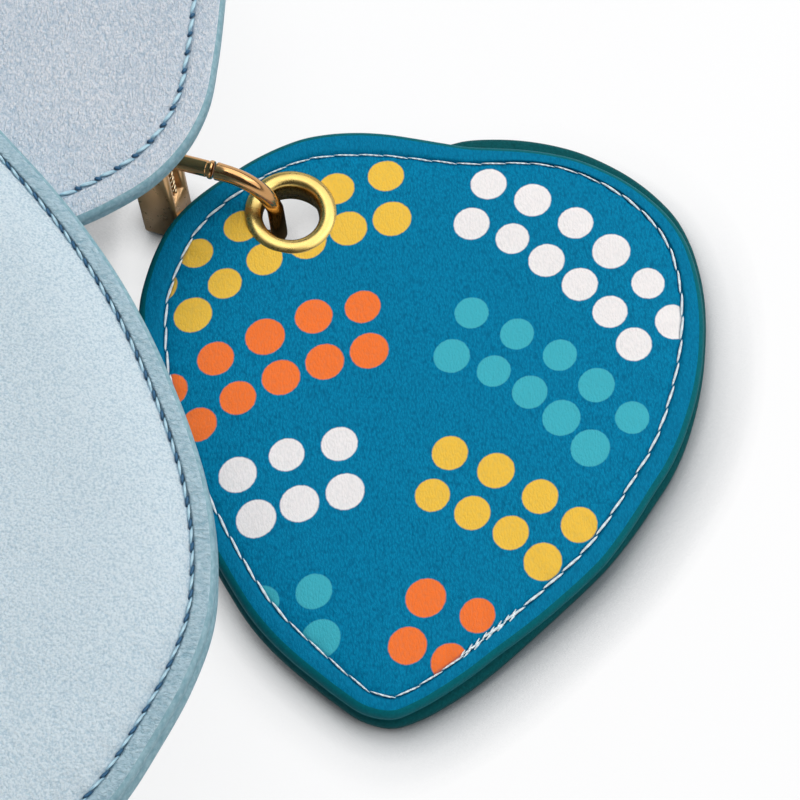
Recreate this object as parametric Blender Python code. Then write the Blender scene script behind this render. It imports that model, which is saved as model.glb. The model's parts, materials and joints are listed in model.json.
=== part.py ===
"""A crossbody bag with a winged leather front, and the flat charm that is clipped to its side.

The bag lies on its back on a level surface, front up (+Z), with its top towards +Y. The origin is
the middle of the pouch's back. Sizes are in metres. Left and right are as seen from the front.
"""
import math

import bmesh
import bpy
from mathutils import Matrix, Vector

# Clearance between pieces that touch
GAP = 0.0003

# Pouch
POUCH_WIDE = 0.134
POUCH_TALL = 0.105
POUCH_DEEP = 0.0248
POUCH_CORNER = 0.005
WALL_THICK = 0.0016
WALL_PROUD = 0.0012
GUSSET_THICK = 0.0016
LINING_THICK = 0.0008

# Zip in the top of the gusset
ZIP_MOUTH_LONG = 0.080
ZIP_MOUTH_WIDE = 0.0110
TAPE_THICK = 0.0006
TAPE_WIDE = 0.0080
TAPE_LAP = 0.0060
TEETH_THICK = 0.0014
TOOTH_LONG = 0.0013
TOOTH_REACH = 0.0017
TEETH_SPINE = 0.0016
TEETH_END = 0.0040
STOP_LONG = 0.0020
SLIDER_LONG = 0.0090
SLIDER_PLATE = 0.0012
SLIDER_FLANGE = 0.0010
CROWN_LONG = 0.0060
CROWN_TALL = 0.0032
CROWN_WIDE = 0.0026
CROWN_WALL = 0.0010
PULL_LONG = 0.0150
PULL_WIDE = 0.0050
PULL_WIRE = 0.0006

# Padded front: each layer is one turned-edge leather pad
UPPER_PAD = 0.0030
LOWER_PAD = 0.0028
PAD_EDGE = 0.0009
STITCH_IN = 0.0032
PUFF_RUN = 0.0040
LOWER_PUFF = 0.0026
BODY_PAD = 0.0105
BODY_EDGE = 0.0026
UPPER_WING = [
    (0.0020, 0.0040), (0.0200, 0.0010), (0.0400, 0.0005), (0.0600, 0.0045), (0.0750, 0.0113),
    (0.0835, 0.0166), (0.0895, 0.0253), (0.0915, 0.0370), (0.0918, 0.0540), (0.0885, 0.0700),
    (0.0800, 0.0820), (0.0660, 0.0880), (0.0480, 0.0860), (0.0300, 0.0760), (0.0160, 0.0600),
    (0.0070, 0.0430), (0.0025, 0.0240),
]
LOWER_WING = [
    (0.0035, 0.0000), (0.0060, 0.0200), (0.0180, 0.0340), (0.0360, 0.0380), (0.0560, 0.0290),
    (0.0690, 0.0166), (0.0800, 0.0022), (0.0879, -0.0129), (0.0932, -0.0286), (0.0937, -0.0429),
    (0.0895, -0.0538), (0.0830, -0.0645), (0.0720, -0.0740), (0.0580, -0.0800), (0.0430, -0.0800),
    (0.0290, -0.0735), (0.0170, -0.0620), (0.0085, -0.0460), (0.0040, -0.0240),
]
BODY = [
    (0.0000, -0.0660), (0.0050, -0.0580), (0.0072, -0.0380), (0.0082, -0.0100), (0.0084, 0.0200),
    (0.0070, 0.0440), (0.0052, 0.0580), (0.0000, 0.0660), (-0.0052, 0.0580), (-0.0070, 0.0440),
    (-0.0084, 0.0200), (-0.0082, -0.0100), (-0.0072, -0.0380), (-0.0050, -0.0580),
]

# Tabs and rings
TAB_THICK = 0.0014
TAB_FOOT = 0.0080
STRAP_SIDE = 0.0105
STRAP_RING_HIGH = 0.0103
STRAP_RING_WIDE = 0.0140
STRAP_RING_LONG = 0.0095
STRAP_RING_CORNER = 0.0022
STRAP_RING_WIRE = 0.0012
CHARM_RING_AT = 0.03036
CHARM_RING_HIGH = 0.0090
CHARM_RING_RADIUS = 0.0050
CHARM_RING_LONG = 0.0075
CHARM_RING_WIRE = 0.0011

# Strap
STRAP_WIDE = 0.0110
STRAP_THICK = 0.0018
STRAP_LAP = 0.0220
STRAP_LIFT = 0.0002
STRAP_TWIST_RUN = 0.0550
RIVET_IN = 0.0140
RIVET_SHANK = 0.0010
RIVET_HEAD = 0.0027
RIVET_HEAD_THICK = 0.0008
STRAP_ROUTE = [
    (0.0580, 0.1160), (0.0700, 0.1450), (0.0880, 0.1800), (0.0990, 0.2200), (0.0960, 0.2600),
    (0.0780, 0.2880), (0.0580, 0.2900), (0.0450, 0.2680), (0.0410, 0.2300), (0.0400, 0.1800),
    (0.0370, 0.1530), (0.0275, 0.1420), (0.0180, 0.1530), (0.0150, 0.1800), (0.0142, 0.2100),
    (0.0100, 0.2280),
]
STRAP_MIDDLE = (0.0, 0.2340)

# Clasp, in its own axes: +X from the bag towards the nose, +Z from the spine to the gate
CLASP_TURN = math.radians(-17.3)
CLASP_PITCH = math.radians(-3.0)
CLASP_LEAN = math.radians(-3.6)
BLOCK_LONG = 0.0051
BLOCK_WIDE = 0.0059
BLOCK_TALL = 0.0174
BLOCK_CORNER = 0.0005
BLOCK_BACK = 0.0013
BLOCK_FLOOR = 0.0070
HOOK_WIRE = 0.00115
HOOK_NOSE_X = 0.0194
HOOK_BEND = 0.0030
NOSE_ROUND = 0.8
HOOK_ROOT = 0.0025
GATE_LONG = 0.0087
GATE_PIVOT_X = 0.0028
GATE_PIN = 0.0004
EYE_RADIUS = 0.0029
EYE_WIRE = 0.0010
EYE_SLACK = 0.0005
EYE_CLEAR = 0.0005
POST_RADIUS = 0.0008
POST_HEAD = 0.0013
POST_HEAD_THICK = 0.0006
SPRING_RADIUS = 0.00085
SPRING_WIRE = 0.00020
SPRING_TURNS = 6

# Charm, in its own flat axes. Where it hangs is set along, across and up from the hook's nose
CHARM_HIGH = 0.0025
CHARM_SLACK = 0.00135
CHARM_ASIDE = 0.00098
CHARM_HANG = -0.0028
CHARM_TILT = math.radians(4.0)
CHARM_TILT_AXIS = (0.652, 0.759, 0.0)
CHARM_PAD = 0.0026
CHARM_PUFF = 0.0008
# Outline of the front, each point with how far the back stands out from under it
CHARM = [
    (-0.0354, 0.0113, 0.0003), (-0.0342, 0.0167, 0.0003), (-0.0324, 0.0216, 0.0003),
    (-0.0291, 0.0261, 0.0003), (-0.0253, 0.0294, 0.0003), (-0.0201, 0.0332, 0.0003),
    (-0.0149, 0.0359, 0.0003), (-0.0104, 0.0371, 0.0002), (-0.0045, 0.0375, 0.0000),
    (0.0004, 0.0370, 0.0000), (0.0050, 0.0363, 0.0008), (0.0093, 0.0357, 0.0025),
    (0.0140, 0.0356, 0.0029), (0.0190, 0.0353, 0.0029), (0.0244, 0.0342, 0.0027),
    (0.0287, 0.0324, 0.0025), (0.0329, 0.0298, 0.0023), (0.0370, 0.0258, 0.0020),
    (0.0396, 0.0213, 0.0014), (0.0410, 0.0153, 0.0011), (0.0413, 0.0092, 0.0008),
    (0.0406, 0.0025, 0.0007), (0.0395, -0.0020, 0.0007), (0.0381, -0.0061, 0.0008),
    (0.0362, -0.0104, 0.0008), (0.0336, -0.0145, 0.0008), (0.0304, -0.0195, 0.0006),
    (0.0266, -0.0246, 0.0003), (0.0224, -0.0287, 0.0003), (0.0176, -0.0329, 0.0005),
    (0.0124, -0.0369, 0.0010), (0.0079, -0.0404, 0.0010), (0.0035, -0.0432, 0.0009),
    (-0.0003, -0.0451, 0.0006), (-0.0041, -0.0449, 0.0003), (-0.0079, -0.0427, 0.0002),
    (-0.0117, -0.0398, 0.0002), (-0.0156, -0.0365, 0.0002), (-0.0195, -0.0322, 0.0002),
    (-0.0238, -0.0254, 0.0002), (-0.0282, -0.0174, 0.0002), (-0.0312, -0.0102, 0.0003),
    (-0.0334, -0.0037, 0.0003), (-0.0350, 0.0034, 0.0003),
]
EYELET_AT = (-0.0153, 0.0241)
EYELET_BORE = 0.0039
EYELET_WALL = 0.0005
EYELET_FLANGE = 0.0063
EYELET_FLANGE_THICK = 0.0010
EYELET_CROWN = 0.0005
WASHER_OUTER = 0.0058
WASHER_THICK = 0.0005

# Fineness
PAD_POINTS = 44
CHARM_POINTS = 64
ROUND_SIDES = 8
WIRE_SIDES = 8
STRAP_STEP = 0.0060

# Levels and places that follow from the sizes
GUSSET_LOW = WALL_THICK + GAP
GUSSET_HIGH = GUSSET_LOW + POUCH_DEEP
FRONT_LOW = GUSSET_HIGH + GAP
UPPER_LOW = FRONT_LOW + WALL_THICK + GAP
LOWER_BACK_LOW = UPPER_LOW + UPPER_PAD + GAP
LOWER_FRONT_LOW = LOWER_BACK_LOW + LOWER_PAD + GAP
LOWER_HIGH = LOWER_FRONT_LOW + LOWER_PAD
ZIP_MIDDLE = (GUSSET_LOW + GUSSET_HIGH) / 2
TOP_WALL = POUCH_TALL / 2
SIDE_WALL = POUCH_WIDE / 2
TAPE_OUT = TOP_WALL - GUSSET_THICK - GAP
TEETH_OUT = TAPE_OUT + GAP + TEETH_THICK
TEETH_HALF_LONG = ZIP_MOUTH_LONG / 2 - TEETH_END
SLIDER_REST = TEETH_HALF_LONG - SLIDER_LONG / 2
STRAP_AT = SIDE_WALL - STRAP_SIDE
CHARM_RING_BAR = SIDE_WALL + CHARM_RING_WIRE + GAP
EYE_AT = -(EYE_RADIUS + EYE_WIRE + EYE_CLEAR)
CHARM_TOTAL = 2 * CHARM_PAD + GAP

FINISHES = {
    "pale_leather": ((0.485, 0.640, 0.753), 0.52, 0.0),
    "lavender_leather": ((0.474, 0.584, 0.716), 0.55, 0.0),
    "lining_fabric": ((0.560, 0.600, 0.650), 0.85, 0.0),
    "zip_tape": ((0.330, 0.450, 0.560), 0.80, 0.0),
    "charm_teal": ((0.000, 0.191, 0.376), 0.50, 0.0),
    "charm_edge": ((0.003, 0.156, 0.168), 0.55, 0.0),
    "yellow_gold": ((0.806, 0.515, 0.112), 0.18, 1.0),
    "rosy_gold": ((0.485, 0.254, 0.112), 0.20, 1.0),
    "spring_steel": ((0.700, 0.640, 0.560), 0.25, 1.0),
}


def clear_scene():
    """Removes every object of the scene that is open."""
    for old in list(bpy.data.objects):
        bpy.data.objects.remove(old, do_unlink=True)


def finish(name):
    """The material of a finish, made once."""
    made = bpy.data.materials.get(name)
    if made is None:
        colour, roughness, metallic = FINISHES[name]
        made = bpy.data.materials.new(name)
        made.use_nodes = True
        shader = made.node_tree.nodes["Principled BSDF"]
        shader.inputs["Base Color"].default_value = (*colour, 1.0)
        shader.inputs["Roughness"].default_value = roughness
        shader.inputs["Metallic"].default_value = metallic
    return made


def place(name, matrix, parent=None):
    """An empty that carries pieces, with its origin where they turn or sit."""
    empty = bpy.data.objects.new(name, None)
    bpy.context.scene.collection.objects.link(empty)
    empty.parent = parent
    empty.matrix_local = matrix
    return empty


def solid(name, rings, finish_name, parent=None, closed=False):
    """A closed skin over rings of equally many points, capped at both ends or joined into a loop."""
    shape = bmesh.new()
    rows = [[shape.verts.new(point) for point in ring] for ring in rings]
    count = len(rows[0])
    pairs = list(zip(rows, rows[1:]))
    if closed:
        pairs.append((rows[-1], rows[0]))
    for low, high in pairs:
        for i in range(count):
            j = (i + 1) % count
            shape.faces.new((low[i], low[j], high[j], high[i]))
    if not closed:
        shape.faces.new(rows[0][::-1])
        shape.faces.new(rows[-1])
    bmesh.ops.recalc_face_normals(shape, faces=shape.faces)
    mesh = bpy.data.meshes.new(name)
    shape.to_mesh(mesh)
    shape.free()
    mesh.shade_smooth()
    mesh.set_sharp_from_angle(angle=math.radians(35))
    mesh.materials.append(finish(finish_name))
    made = bpy.data.objects.new(name, mesh)
    bpy.context.scene.collection.objects.link(made)
    made.parent = parent
    return made


def boolean(target, tool, operation):
    """Applies a tool shape to a piece, and hides the tool."""
    step = target.modifiers.new(operation.lower(), "BOOLEAN")
    step.operation = operation
    step.solver = "EXACT"
    step.object = tool
    tool.hide_render = True
    tool.display_type = "WIRE"


def counterclockwise(points):
    """The same outline, running counterclockwise."""
    following = points[1:] + points[:1]
    area = sum(a[0] * b[1] - b[0] * a[1] for a, b in zip(points, following))
    return points if area > 0 else points[::-1]


def curve_point(a, b, c, d, t):
    """The point at t, from 0 to 1, between b and c on a smooth curve through a, b, c and d."""
    return (
        b
        + (c - a) * (t / 2)
        + (a * 2 - b * 5 + c * 4 - d) * (t * t / 2)
        + (b * 3 - a - c * 3 + d) * (t * t * t / 2)
    )


def spaced(points, count):
    """Evenly spaced points along a line of points, both ends included."""
    lengths = [0.0]
    for a, b in zip(points, points[1:]):
        lengths.append(lengths[-1] + (b - a).length)
    found = []
    k = 0
    for i in range(count):
        wanted = lengths[-1] * i / (count - 1)
        while k < len(points) - 2 and lengths[k + 1] < wanted:
            k += 1
        share = (wanted - lengths[k]) / (lengths[k + 1] - lengths[k])
        found.append(points[k].lerp(points[k + 1], share))
    return found


def smooth_loop(points, count):
    """A smooth closed outline through a few points, as evenly spaced points."""
    knots = [Vector(point) for point in counterclockwise(points)]
    many = len(knots)
    fine = []
    for i in range(many):
        near = [knots[(i + k) % many] for k in (-1, 0, 1, 2)]
        fine += [curve_point(*near, step / 12) for step in range(12)]
    fine.append(fine[0])
    return spaced(fine, count + 1)[:-1]


def smooth_path(points, step):
    """A smooth open line through a few points, with evenly spaced points about a step apart."""
    knots = [Vector(point) for point in points]
    knots = [knots[0] * 2 - knots[1]] + knots + [knots[-1] * 2 - knots[-2]]
    fine = []
    for i in range(1, len(knots) - 2):
        fine += [curve_point(*knots[i - 1 : i + 3], k / 12) for k in range(12)]
    fine.append(knots[-2])
    length = sum((b - a).length for a, b in zip(fine, fine[1:]))
    return spaced(fine, round(length / step) + 1)


def mirrored(points):
    """An outline of the right side, for the left."""
    return [(-x, y) for x, y in points]


def inset(loop, distance):
    """An outline drawn in by a distance, or let out by a negative one."""
    drawn = []
    for i, point in enumerate(loop):
        along = (loop[(i + 1) % len(loop)] - loop[i - 1]).normalized()
        drawn.append(point + Vector((-along.y, along.x)) * distance)
    return drawn


def level(loop, z):
    """A flat outline, set at a height."""
    return [Vector((point[0], point[1], z)) for point in loop]


def rounded_rectangle(wide, tall, corner, steps=4, middle=(0.0, 0.0)):
    """A rectangle with round corners, counterclockwise from its right side."""
    points = []
    for quarter in range(4):
        sign_x = 1 if quarter in (0, 3) else -1
        sign_y = 1 if quarter in (0, 1) else -1
        centre_x = middle[0] + sign_x * (wide / 2 - corner)
        centre_y = middle[1] + sign_y * (tall / 2 - corner)
        for step in range(steps + 1):
            angle = math.radians(90) * (quarter + step / steps)
            points.append(
                Vector((centre_x + corner * math.cos(angle), centre_y + corner * math.sin(angle)))
            )
    return points


def circle(radius, sides):
    """A circle about the origin."""
    turn = 2 * math.pi / sides
    return [Vector((radius * math.cos(turn * i), radius * math.sin(turn * i))) for i in range(sides)]


def block(name, low, high, finish_name, parent=None):
    """A box from its lowest corner to its highest."""
    corners = [(low[0], low[1]), (high[0], low[1]), (high[0], high[1]), (low[0], high[1])]
    return solid(name, [level(corners, low[2]), level(corners, high[2])], finish_name, parent)


def along_x(profile, start, end):
    """Two rings of a profile in Y and Z, at two places on X."""
    return [[Vector((x, p[0], p[1])) for p in profile] for x in (start, end)]


def along_y(profile, start, end):
    """Two rings of a profile in X and Z, at two places on Y."""
    return [[Vector((p[0], y, p[1])) for p in profile] for y in (start, end)]


def turned(name, profile, sides, finish_name, parent=None):
    """A round piece on the Z axis, from pairs of radius and height, bottom to top."""
    rings = [level(circle(radius, sides), height) for radius, height in profile]
    return solid(name, rings, finish_name, parent)


def ring_piece(name, profile, sides, finish_name, parent=None):
    """A round piece with a bore on the Z axis, from a closed profile of radius and height."""
    rings = [level(circle(radius, sides), height) for radius, height in profile]
    return solid(name, rings, finish_name, parent, closed=True)


def tube(name, path, radius, finish_name, parent=None, closed=False, sides=WIRE_SIDES):
    """A round wire along a line of points."""
    path = [Vector(point).to_3d() for point in path]
    many = len(path)
    directions = []
    for i in range(many):
        before = path[i - 1] if closed or i else path[i]
        after = path[(i + 1) % many] if closed or i < many - 1 else path[i]
        directions.append((after - before).normalized())
    side = directions[0].orthogonal().normalized()
    rings = []
    for i, point in enumerate(path):
        if i:
            side.rotate(directions[i - 1].rotation_difference(directions[i]))
        other = directions[i].cross(side)
        rings.append([point + side * p.x + other * p.y for p in circle(radius, sides)])
    return solid(name, rings, finish_name, parent, closed)


def pad(name, loop, low, thick, puff, finish_name, parent=None, edge=PAD_EDGE, border=STITCH_IN):
    """A leather pad with a rounded rim, and a face that puffs up inside its seam."""
    high = low + thick
    rings = [
        level(inset(loop, edge), low),
        level(loop, low + edge),
        level(loop, high - edge),
        level(inset(loop, edge), high),
    ]
    if puff:
        rings += [
            level(inset(loop, border), high),
            level(inset(loop, border + PUFF_RUN), high + 0.75 * puff),
            level(inset(loop, border + 2.5 * PUFF_RUN), high + puff),
        ]
    return solid(name, rings, finish_name, parent)


def make_pouch():
    """The back and front walls, the gusset between them and the lining inside."""
    wall = rounded_rectangle(
        POUCH_WIDE + 2 * WALL_PROUD, POUCH_TALL + 2 * WALL_PROUD, POUCH_CORNER + WALL_PROUD
    )
    solid("pouch_back", [level(wall, 0.0), level(wall, WALL_THICK)], "pale_leather")
    front = [level(wall, FRONT_LOW), level(wall, FRONT_LOW + WALL_THICK)]
    solid("pouch_front", front, "pale_leather")

    outer = rounded_rectangle(POUCH_WIDE, POUCH_TALL, POUCH_CORNER)
    inner = inset(outer, GUSSET_THICK)
    rings = [
        level(outer, GUSSET_LOW),
        level(outer, GUSSET_HIGH),
        level(inner, GUSSET_HIGH),
        level(inner, GUSSET_LOW),
    ]
    gusset = solid("pouch_gusset", rings, "pale_leather", closed=True)
    mouth = block(
        "zip_mouth_cutter",
        (-ZIP_MOUTH_LONG / 2, TOP_WALL - 2 * GUSSET_THICK, ZIP_MIDDLE - ZIP_MOUTH_WIDE / 2),
        (ZIP_MOUTH_LONG / 2, TOP_WALL + GUSSET_THICK, ZIP_MIDDLE + ZIP_MOUTH_WIDE / 2),
        "pale_leather",
    )
    boolean(gusset, mouth, "DIFFERENCE")

    skin = inset(outer, GUSSET_THICK + GAP)
    lining = solid(
        "pouch_lining", [level(skin, GUSSET_LOW), level(skin, GUSSET_HIGH)], "lining_fabric"
    )
    hollow = inset(skin, LINING_THICK)
    room = solid(
        "lining_room_cutter",
        [level(hollow, GUSSET_LOW + LINING_THICK), level(hollow, GUSSET_HIGH - LINING_THICK)],
        "lining_fabric",
    )
    lining_top = TAPE_OUT - TAPE_THICK - GAP
    above = block(
        "lining_mouth_cutter",
        (-POUCH_WIDE, lining_top, 0.0),
        (POUCH_WIDE, POUCH_TALL, FRONT_LOW),
        "lining_fabric",
    )
    boolean(lining, room, "DIFFERENCE")
    boolean(lining, above, "DIFFERENCE")


def teeth_outline(side):
    """One comb of zip teeth in X and Z. Side 1 lies towards the front, -1 towards the back."""
    pitch = 2 * (TOOTH_LONG + GAP)
    count = int(2 * TEETH_HALF_LONG / pitch)
    root = TOOTH_REACH / 2 + GAP / 2
    tip = -TOOTH_REACH / 2 + GAP / 2
    points = []
    for i in range(count):
        start = -TEETH_HALF_LONG + i * pitch + (0 if side > 0 else TOOTH_LONG + GAP)
        end = start + TOOTH_LONG
        points += [(start, root), (start, tip), (end, tip), (end, root)]
    points += [(points[-1][0], root + TEETH_SPINE), (points[0][0], root + TEETH_SPINE)]
    return [(x, ZIP_MIDDLE + side * z) for x, z in points]


def make_zip():
    """The tapes, the two rows of teeth, the end stops, the slider and its pull."""
    root = TOOTH_REACH / 2 + GAP / 2
    outside = root + TEETH_SPINE
    for name, side in (("front", 1), ("back", -1)):
        near = ZIP_MIDDLE + side * root
        far = near + side * TAPE_WIDE
        half = ZIP_MOUTH_LONG / 2 + TAPE_LAP
        block(
            f"zip_tape_{name}",
            (-half, TAPE_OUT - TAPE_THICK, min(near, far)),
            (half, TAPE_OUT, max(near, far)),
            "zip_tape",
        )
        solid(
            f"zip_teeth_{name}",
            along_y(teeth_outline(side), TAPE_OUT + GAP, TEETH_OUT),
            "yellow_gold",
        )
    for name, side in (("right", 1), ("left", -1)):
        inner = side * (TEETH_HALF_LONG + GAP)
        outer = side * (TEETH_HALF_LONG + GAP + STOP_LONG)
        block(
            f"zip_stop_{name}",
            (min(inner, outer), TAPE_OUT + GAP, ZIP_MIDDLE - outside),
            (max(inner, outer), TEETH_OUT, ZIP_MIDDLE + outside),
            "yellow_gold",
        )

    under = TEETH_OUT + GAP
    over = under + SLIDER_PLATE
    skirt = TAPE_OUT + GAP
    inner = outside + GAP
    wide = inner + SLIDER_FLANGE
    place_slider = place("zip_slider_place", Matrix.Translation((SLIDER_REST, 0, ZIP_MIDDLE)))
    channel = [
        (skirt, -wide), (over, -wide), (over, wide), (skirt, wide),
        (skirt, inner), (under, inner), (under, -inner), (skirt, -inner),
    ]
    slider = solid(
        "zip_slider",
        along_x(channel, -SLIDER_LONG / 2, SLIDER_LONG / 2),
        "yellow_gold",
        place_slider,
    )
    half = CROWN_LONG / 2
    low = over - SLIDER_PLATE / 2
    high = over + CROWN_TALL
    legs = half - CROWN_WALL
    arch = [
        (-half, low), (-legs, low), (-legs, high - CROWN_WALL), (legs, high - CROWN_WALL),
        (legs, low), (half, low), (half, high - CROWN_WALL), (legs, high), (-legs, high),
        (-half, high - CROWN_WALL),
    ]
    crown = solid(
        "slider_crown_form",
        [level(arch, -CROWN_WIDE / 2), level(arch, CROWN_WIDE / 2)],
        "yellow_gold",
        place_slider,
    )
    boolean(slider, crown, "UNION")

    bar = over + (CROWN_TALL - CROWN_WALL) / 2
    hinge = place("zip_pull_hinge", Matrix.Translation((0, bar, 0)), place_slider)
    flat = rounded_rectangle(
        PULL_LONG, PULL_WIDE, PULL_WIDE * 0.4, 3, middle=(-PULL_LONG / 2, 0.0)
    )
    loop = [(p.x, 0.0, p.y) for p in flat]
    tube("zip_pull", loop, PULL_WIRE, "yellow_gold", hinge, closed=True)


def make_front():
    """The four wing pads and the padded body that covers their roots."""
    cutters = []
    for name, turn in (("right", list), ("left", mirrored)):
        upper = smooth_loop(turn(UPPER_WING), PAD_POINTS)
        lower = smooth_loop(turn(LOWER_WING), PAD_POINTS)
        pad(f"upper_wing_{name}", upper, UPPER_LOW, UPPER_PAD, 0, "lavender_leather")
        pad(f"lower_wing_back_{name}", lower, LOWER_BACK_LOW, LOWER_PAD, 0, "pale_leather")
        pad(
            f"lower_wing_front_{name}",
            lower,
            LOWER_FRONT_LOW,
            LOWER_PAD,
            LOWER_PUFF,
            "pale_leather",
        )
        cutters.append(
            pad(
                f"body_seat_cutter_{name}",
                inset(lower, -GAP),
                LOWER_BACK_LOW - 2 * PAD_EDGE,
                LOWER_HIGH + GAP - LOWER_BACK_LOW + 2 * PAD_EDGE,
                LOWER_PUFF,
                "pale_leather",
            )
        )
    body = pad(
        "body_panel",
        smooth_loop(BODY, PAD_POINTS),
        LOWER_BACK_LOW,
        BODY_PAD,
        0,
        "lavender_leather",
        edge=BODY_EDGE,
    )
    for cutter in cutters:
        boolean(body, cutter, "DIFFERENCE")


def make_tab(name, wire, wide, parent):
    """A leather tab sewn flat to a wall, with an arch over a bar that lies along X."""
    inner = wire + GAP
    outer = inner + TAB_THICK
    foot = -wire
    profile = [(foot, -TAB_FOOT), (foot + TAB_THICK, -TAB_FOOT)]
    first = math.asin((foot + TAB_THICK) / outer)
    for step in range(ROUND_SIDES + 1):
        angle = first + (math.pi - 2 * first) * step / ROUND_SIDES
        profile.append((outer * math.sin(angle), -outer * math.cos(angle)))
    profile += [(foot + TAB_THICK, TAB_FOOT), (foot, TAB_FOOT)]
    first = math.asin(foot / inner)
    for step in range(ROUND_SIDES + 1):
        angle = math.pi - first - (math.pi - 2 * first) * step / ROUND_SIDES
        profile.append((inner * math.sin(angle), -inner * math.cos(angle)))
    return solid(name, along_x(profile, -wide / 2, wide / 2), "pale_leather", parent)


def strap_end(name, parent):
    """The folded end of the strap round the far bar of its ring, with the bar along X."""
    inner = STRAP_RING_WIRE + GAP
    thick = inner + STRAP_THICK
    flat = STRAP_THICK + GAP / 2
    side = [
        (-thick, 0.45 * thick), (-0.45 * thick, thick), (0.5 * thick, thick),
        (2.6 * thick, flat), (STRAP_LAP, flat),
    ]
    profile = side + [(y, -z) for y, z in reversed(side)]
    end = solid(
        name, along_x(profile, -STRAP_WIDE / 2, STRAP_WIDE / 2), "pale_leather", parent
    )
    hole = solid(
        f"{name}_bar_cutter",
        along_x(circle(inner, 12), -STRAP_WIDE, STRAP_WIDE),
        "pale_leather",
        parent,
    )
    boolean(end, hole, "DIFFERENCE")
    rivet_hole = turned(
        f"{name}_rivet_cutter",
        [(RIVET_SHANK + GAP, -2 * flat), (RIVET_SHANK + GAP, 2 * flat)],
        10,
        "pale_leather",
        place(f"{name}_rivet_place", Matrix.Translation((0, RIVET_IN, 0)), parent),
    )
    boolean(end, rivet_hole, "DIFFERENCE")
    return end


def make_rivet(name, parent):
    """A rivet through the doubled strap."""
    flat = STRAP_THICK + GAP / 2 + GAP
    top = flat + RIVET_HEAD_THICK
    profile = [
        (0.6 * RIVET_HEAD, -top), (RIVET_HEAD, -flat - RIVET_HEAD_THICK / 2), (RIVET_HEAD, -flat),
        (RIVET_SHANK, -flat), (RIVET_SHANK, flat), (RIVET_HEAD, flat),
        (RIVET_HEAD, flat + RIVET_HEAD_THICK / 2), (0.6 * RIVET_HEAD, top),
    ]
    turned(name, profile, 12, "yellow_gold", parent)


def eased(share):
    """A smooth step from 0 to 1."""
    share = min(max(share, 0.0), 1.0)
    return share * share * (3 - 2 * share)


def make_strap():
    """The strap's tabs and rings on the top wall, and the strap on its edge in one closed loop."""
    bar = TOP_WALL + STRAP_RING_WIRE + GAP
    far = bar + STRAP_RING_LONG
    ends = []
    for name, side in (("right", 1), ("left", -1)):
        at = Matrix.Translation((side * STRAP_AT, bar, STRAP_RING_HIGH))
        seat = place(f"strap_tab_place_{name}", at)
        make_tab(f"strap_tab_{name}", STRAP_RING_WIRE, STRAP_WIDE, seat)
        hinge = place(f"strap_ring_hinge_{name}", at)
        loop = rounded_rectangle(
            STRAP_RING_WIDE,
            STRAP_RING_LONG,
            STRAP_RING_CORNER,
            3,
            middle=(0.0, STRAP_RING_LONG / 2),
        )
        tube(f"strap_ring_{name}", loop, STRAP_RING_WIRE, "yellow_gold", hinge, closed=True)
        fold = place(
            f"strap_fold_{name}", Matrix.Translation((0, STRAP_RING_LONG, 0)), hinge
        )
        ends.append(strap_end("strap_end_form" if side > 0 else "strap", fold))
        rivet_at = place(
            f"strap_rivet_place_{name}", Matrix.Translation((0, RIVET_IN, 0)), fold
        )
        make_rivet(f"strap_rivet_{name}", rivet_at)

    start = far + RIVET_IN + RIVET_HEAD + GAP
    right = [(STRAP_AT, start), (STRAP_AT, far + STRAP_LAP + GAP)] + STRAP_ROUTE
    left = mirrored(right)
    path = smooth_path(left + [STRAP_MIDDLE] + right[::-1], STRAP_STEP)
    path = [point.to_3d() for point in path]
    total = STRAP_STEP * (len(path) - 1)
    edge_high = STRAP_LIFT + STRAP_WIDE / 2
    straight = far + STRAP_LAP - start
    rings = []
    for i, point in enumerate(path):
        before = path[max(i - 1, 0)]
        after = path[min(i + 1, len(path) - 1)]
        along = (after - before).normalized()
        from_end = min(STRAP_STEP * i, total - STRAP_STEP * i)
        turn = eased((from_end - straight) / STRAP_TWIST_RUN)
        across = Vector((along.y, -along.x, 0.0))
        angle = math.radians(90) * turn
        wide = across * math.cos(angle) + Vector((0, 0, math.sin(angle)))
        thick = along.cross(wide).normalized()
        centre = Vector((point.x, point.y, STRAP_RING_HIGH + (edge_high - STRAP_RING_HIGH) * turn))
        half_wide = wide * (STRAP_WIDE / 2)
        half_thick = thick * (STRAP_THICK / 2)
        corners = ((1, 1), (-1, 1), (-1, -1), (1, -1))
        rings.append([centre + half_wide * a + half_thick * b for a, b in corners])
    band = solid("strap_band_form", rings, "pale_leather")
    strap_end_right, strap = ends
    boolean(strap, band, "UNION")
    boolean(strap, strap_end_right, "UNION")


def make_charm_ring():
    """The tab and D-ring on the right wall. The ring's bar stands upright."""
    turned_up = Matrix(((0, 1, 0), (0, 0, 1), (1, 0, 0))).to_4x4()
    at = Matrix.Translation((CHARM_RING_BAR, CHARM_RING_AT, CHARM_RING_HIGH)) @ turned_up
    wide = 2 * (CHARM_RING_RADIUS - CHARM_RING_WIRE - GAP)
    make_tab("charm_tab", CHARM_RING_WIRE, wide, place("charm_tab_place", at))
    middle = CHARM_RING_LONG - CHARM_RING_RADIUS
    loop = []
    for step in range(13):
        angle = math.pi * step / 12
        loop.append(
            (CHARM_RING_RADIUS * math.cos(angle), middle + CHARM_RING_RADIUS * math.sin(angle))
        )
    corner = middle * 0.5
    for side, steps in ((-1, range(4)), (1, range(3, -1, -1))):
        for step in steps:
            angle = math.radians(90) * step / 3
            x = CHARM_RING_RADIUS - corner + corner * math.cos(angle)
            loop.append((side * x, corner - corner * math.sin(angle)))
    hinge = place("charm_ring_hinge", at)
    tube("charm_ring", loop, CHARM_RING_WIRE, "rosy_gold", hinge, closed=True)


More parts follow.
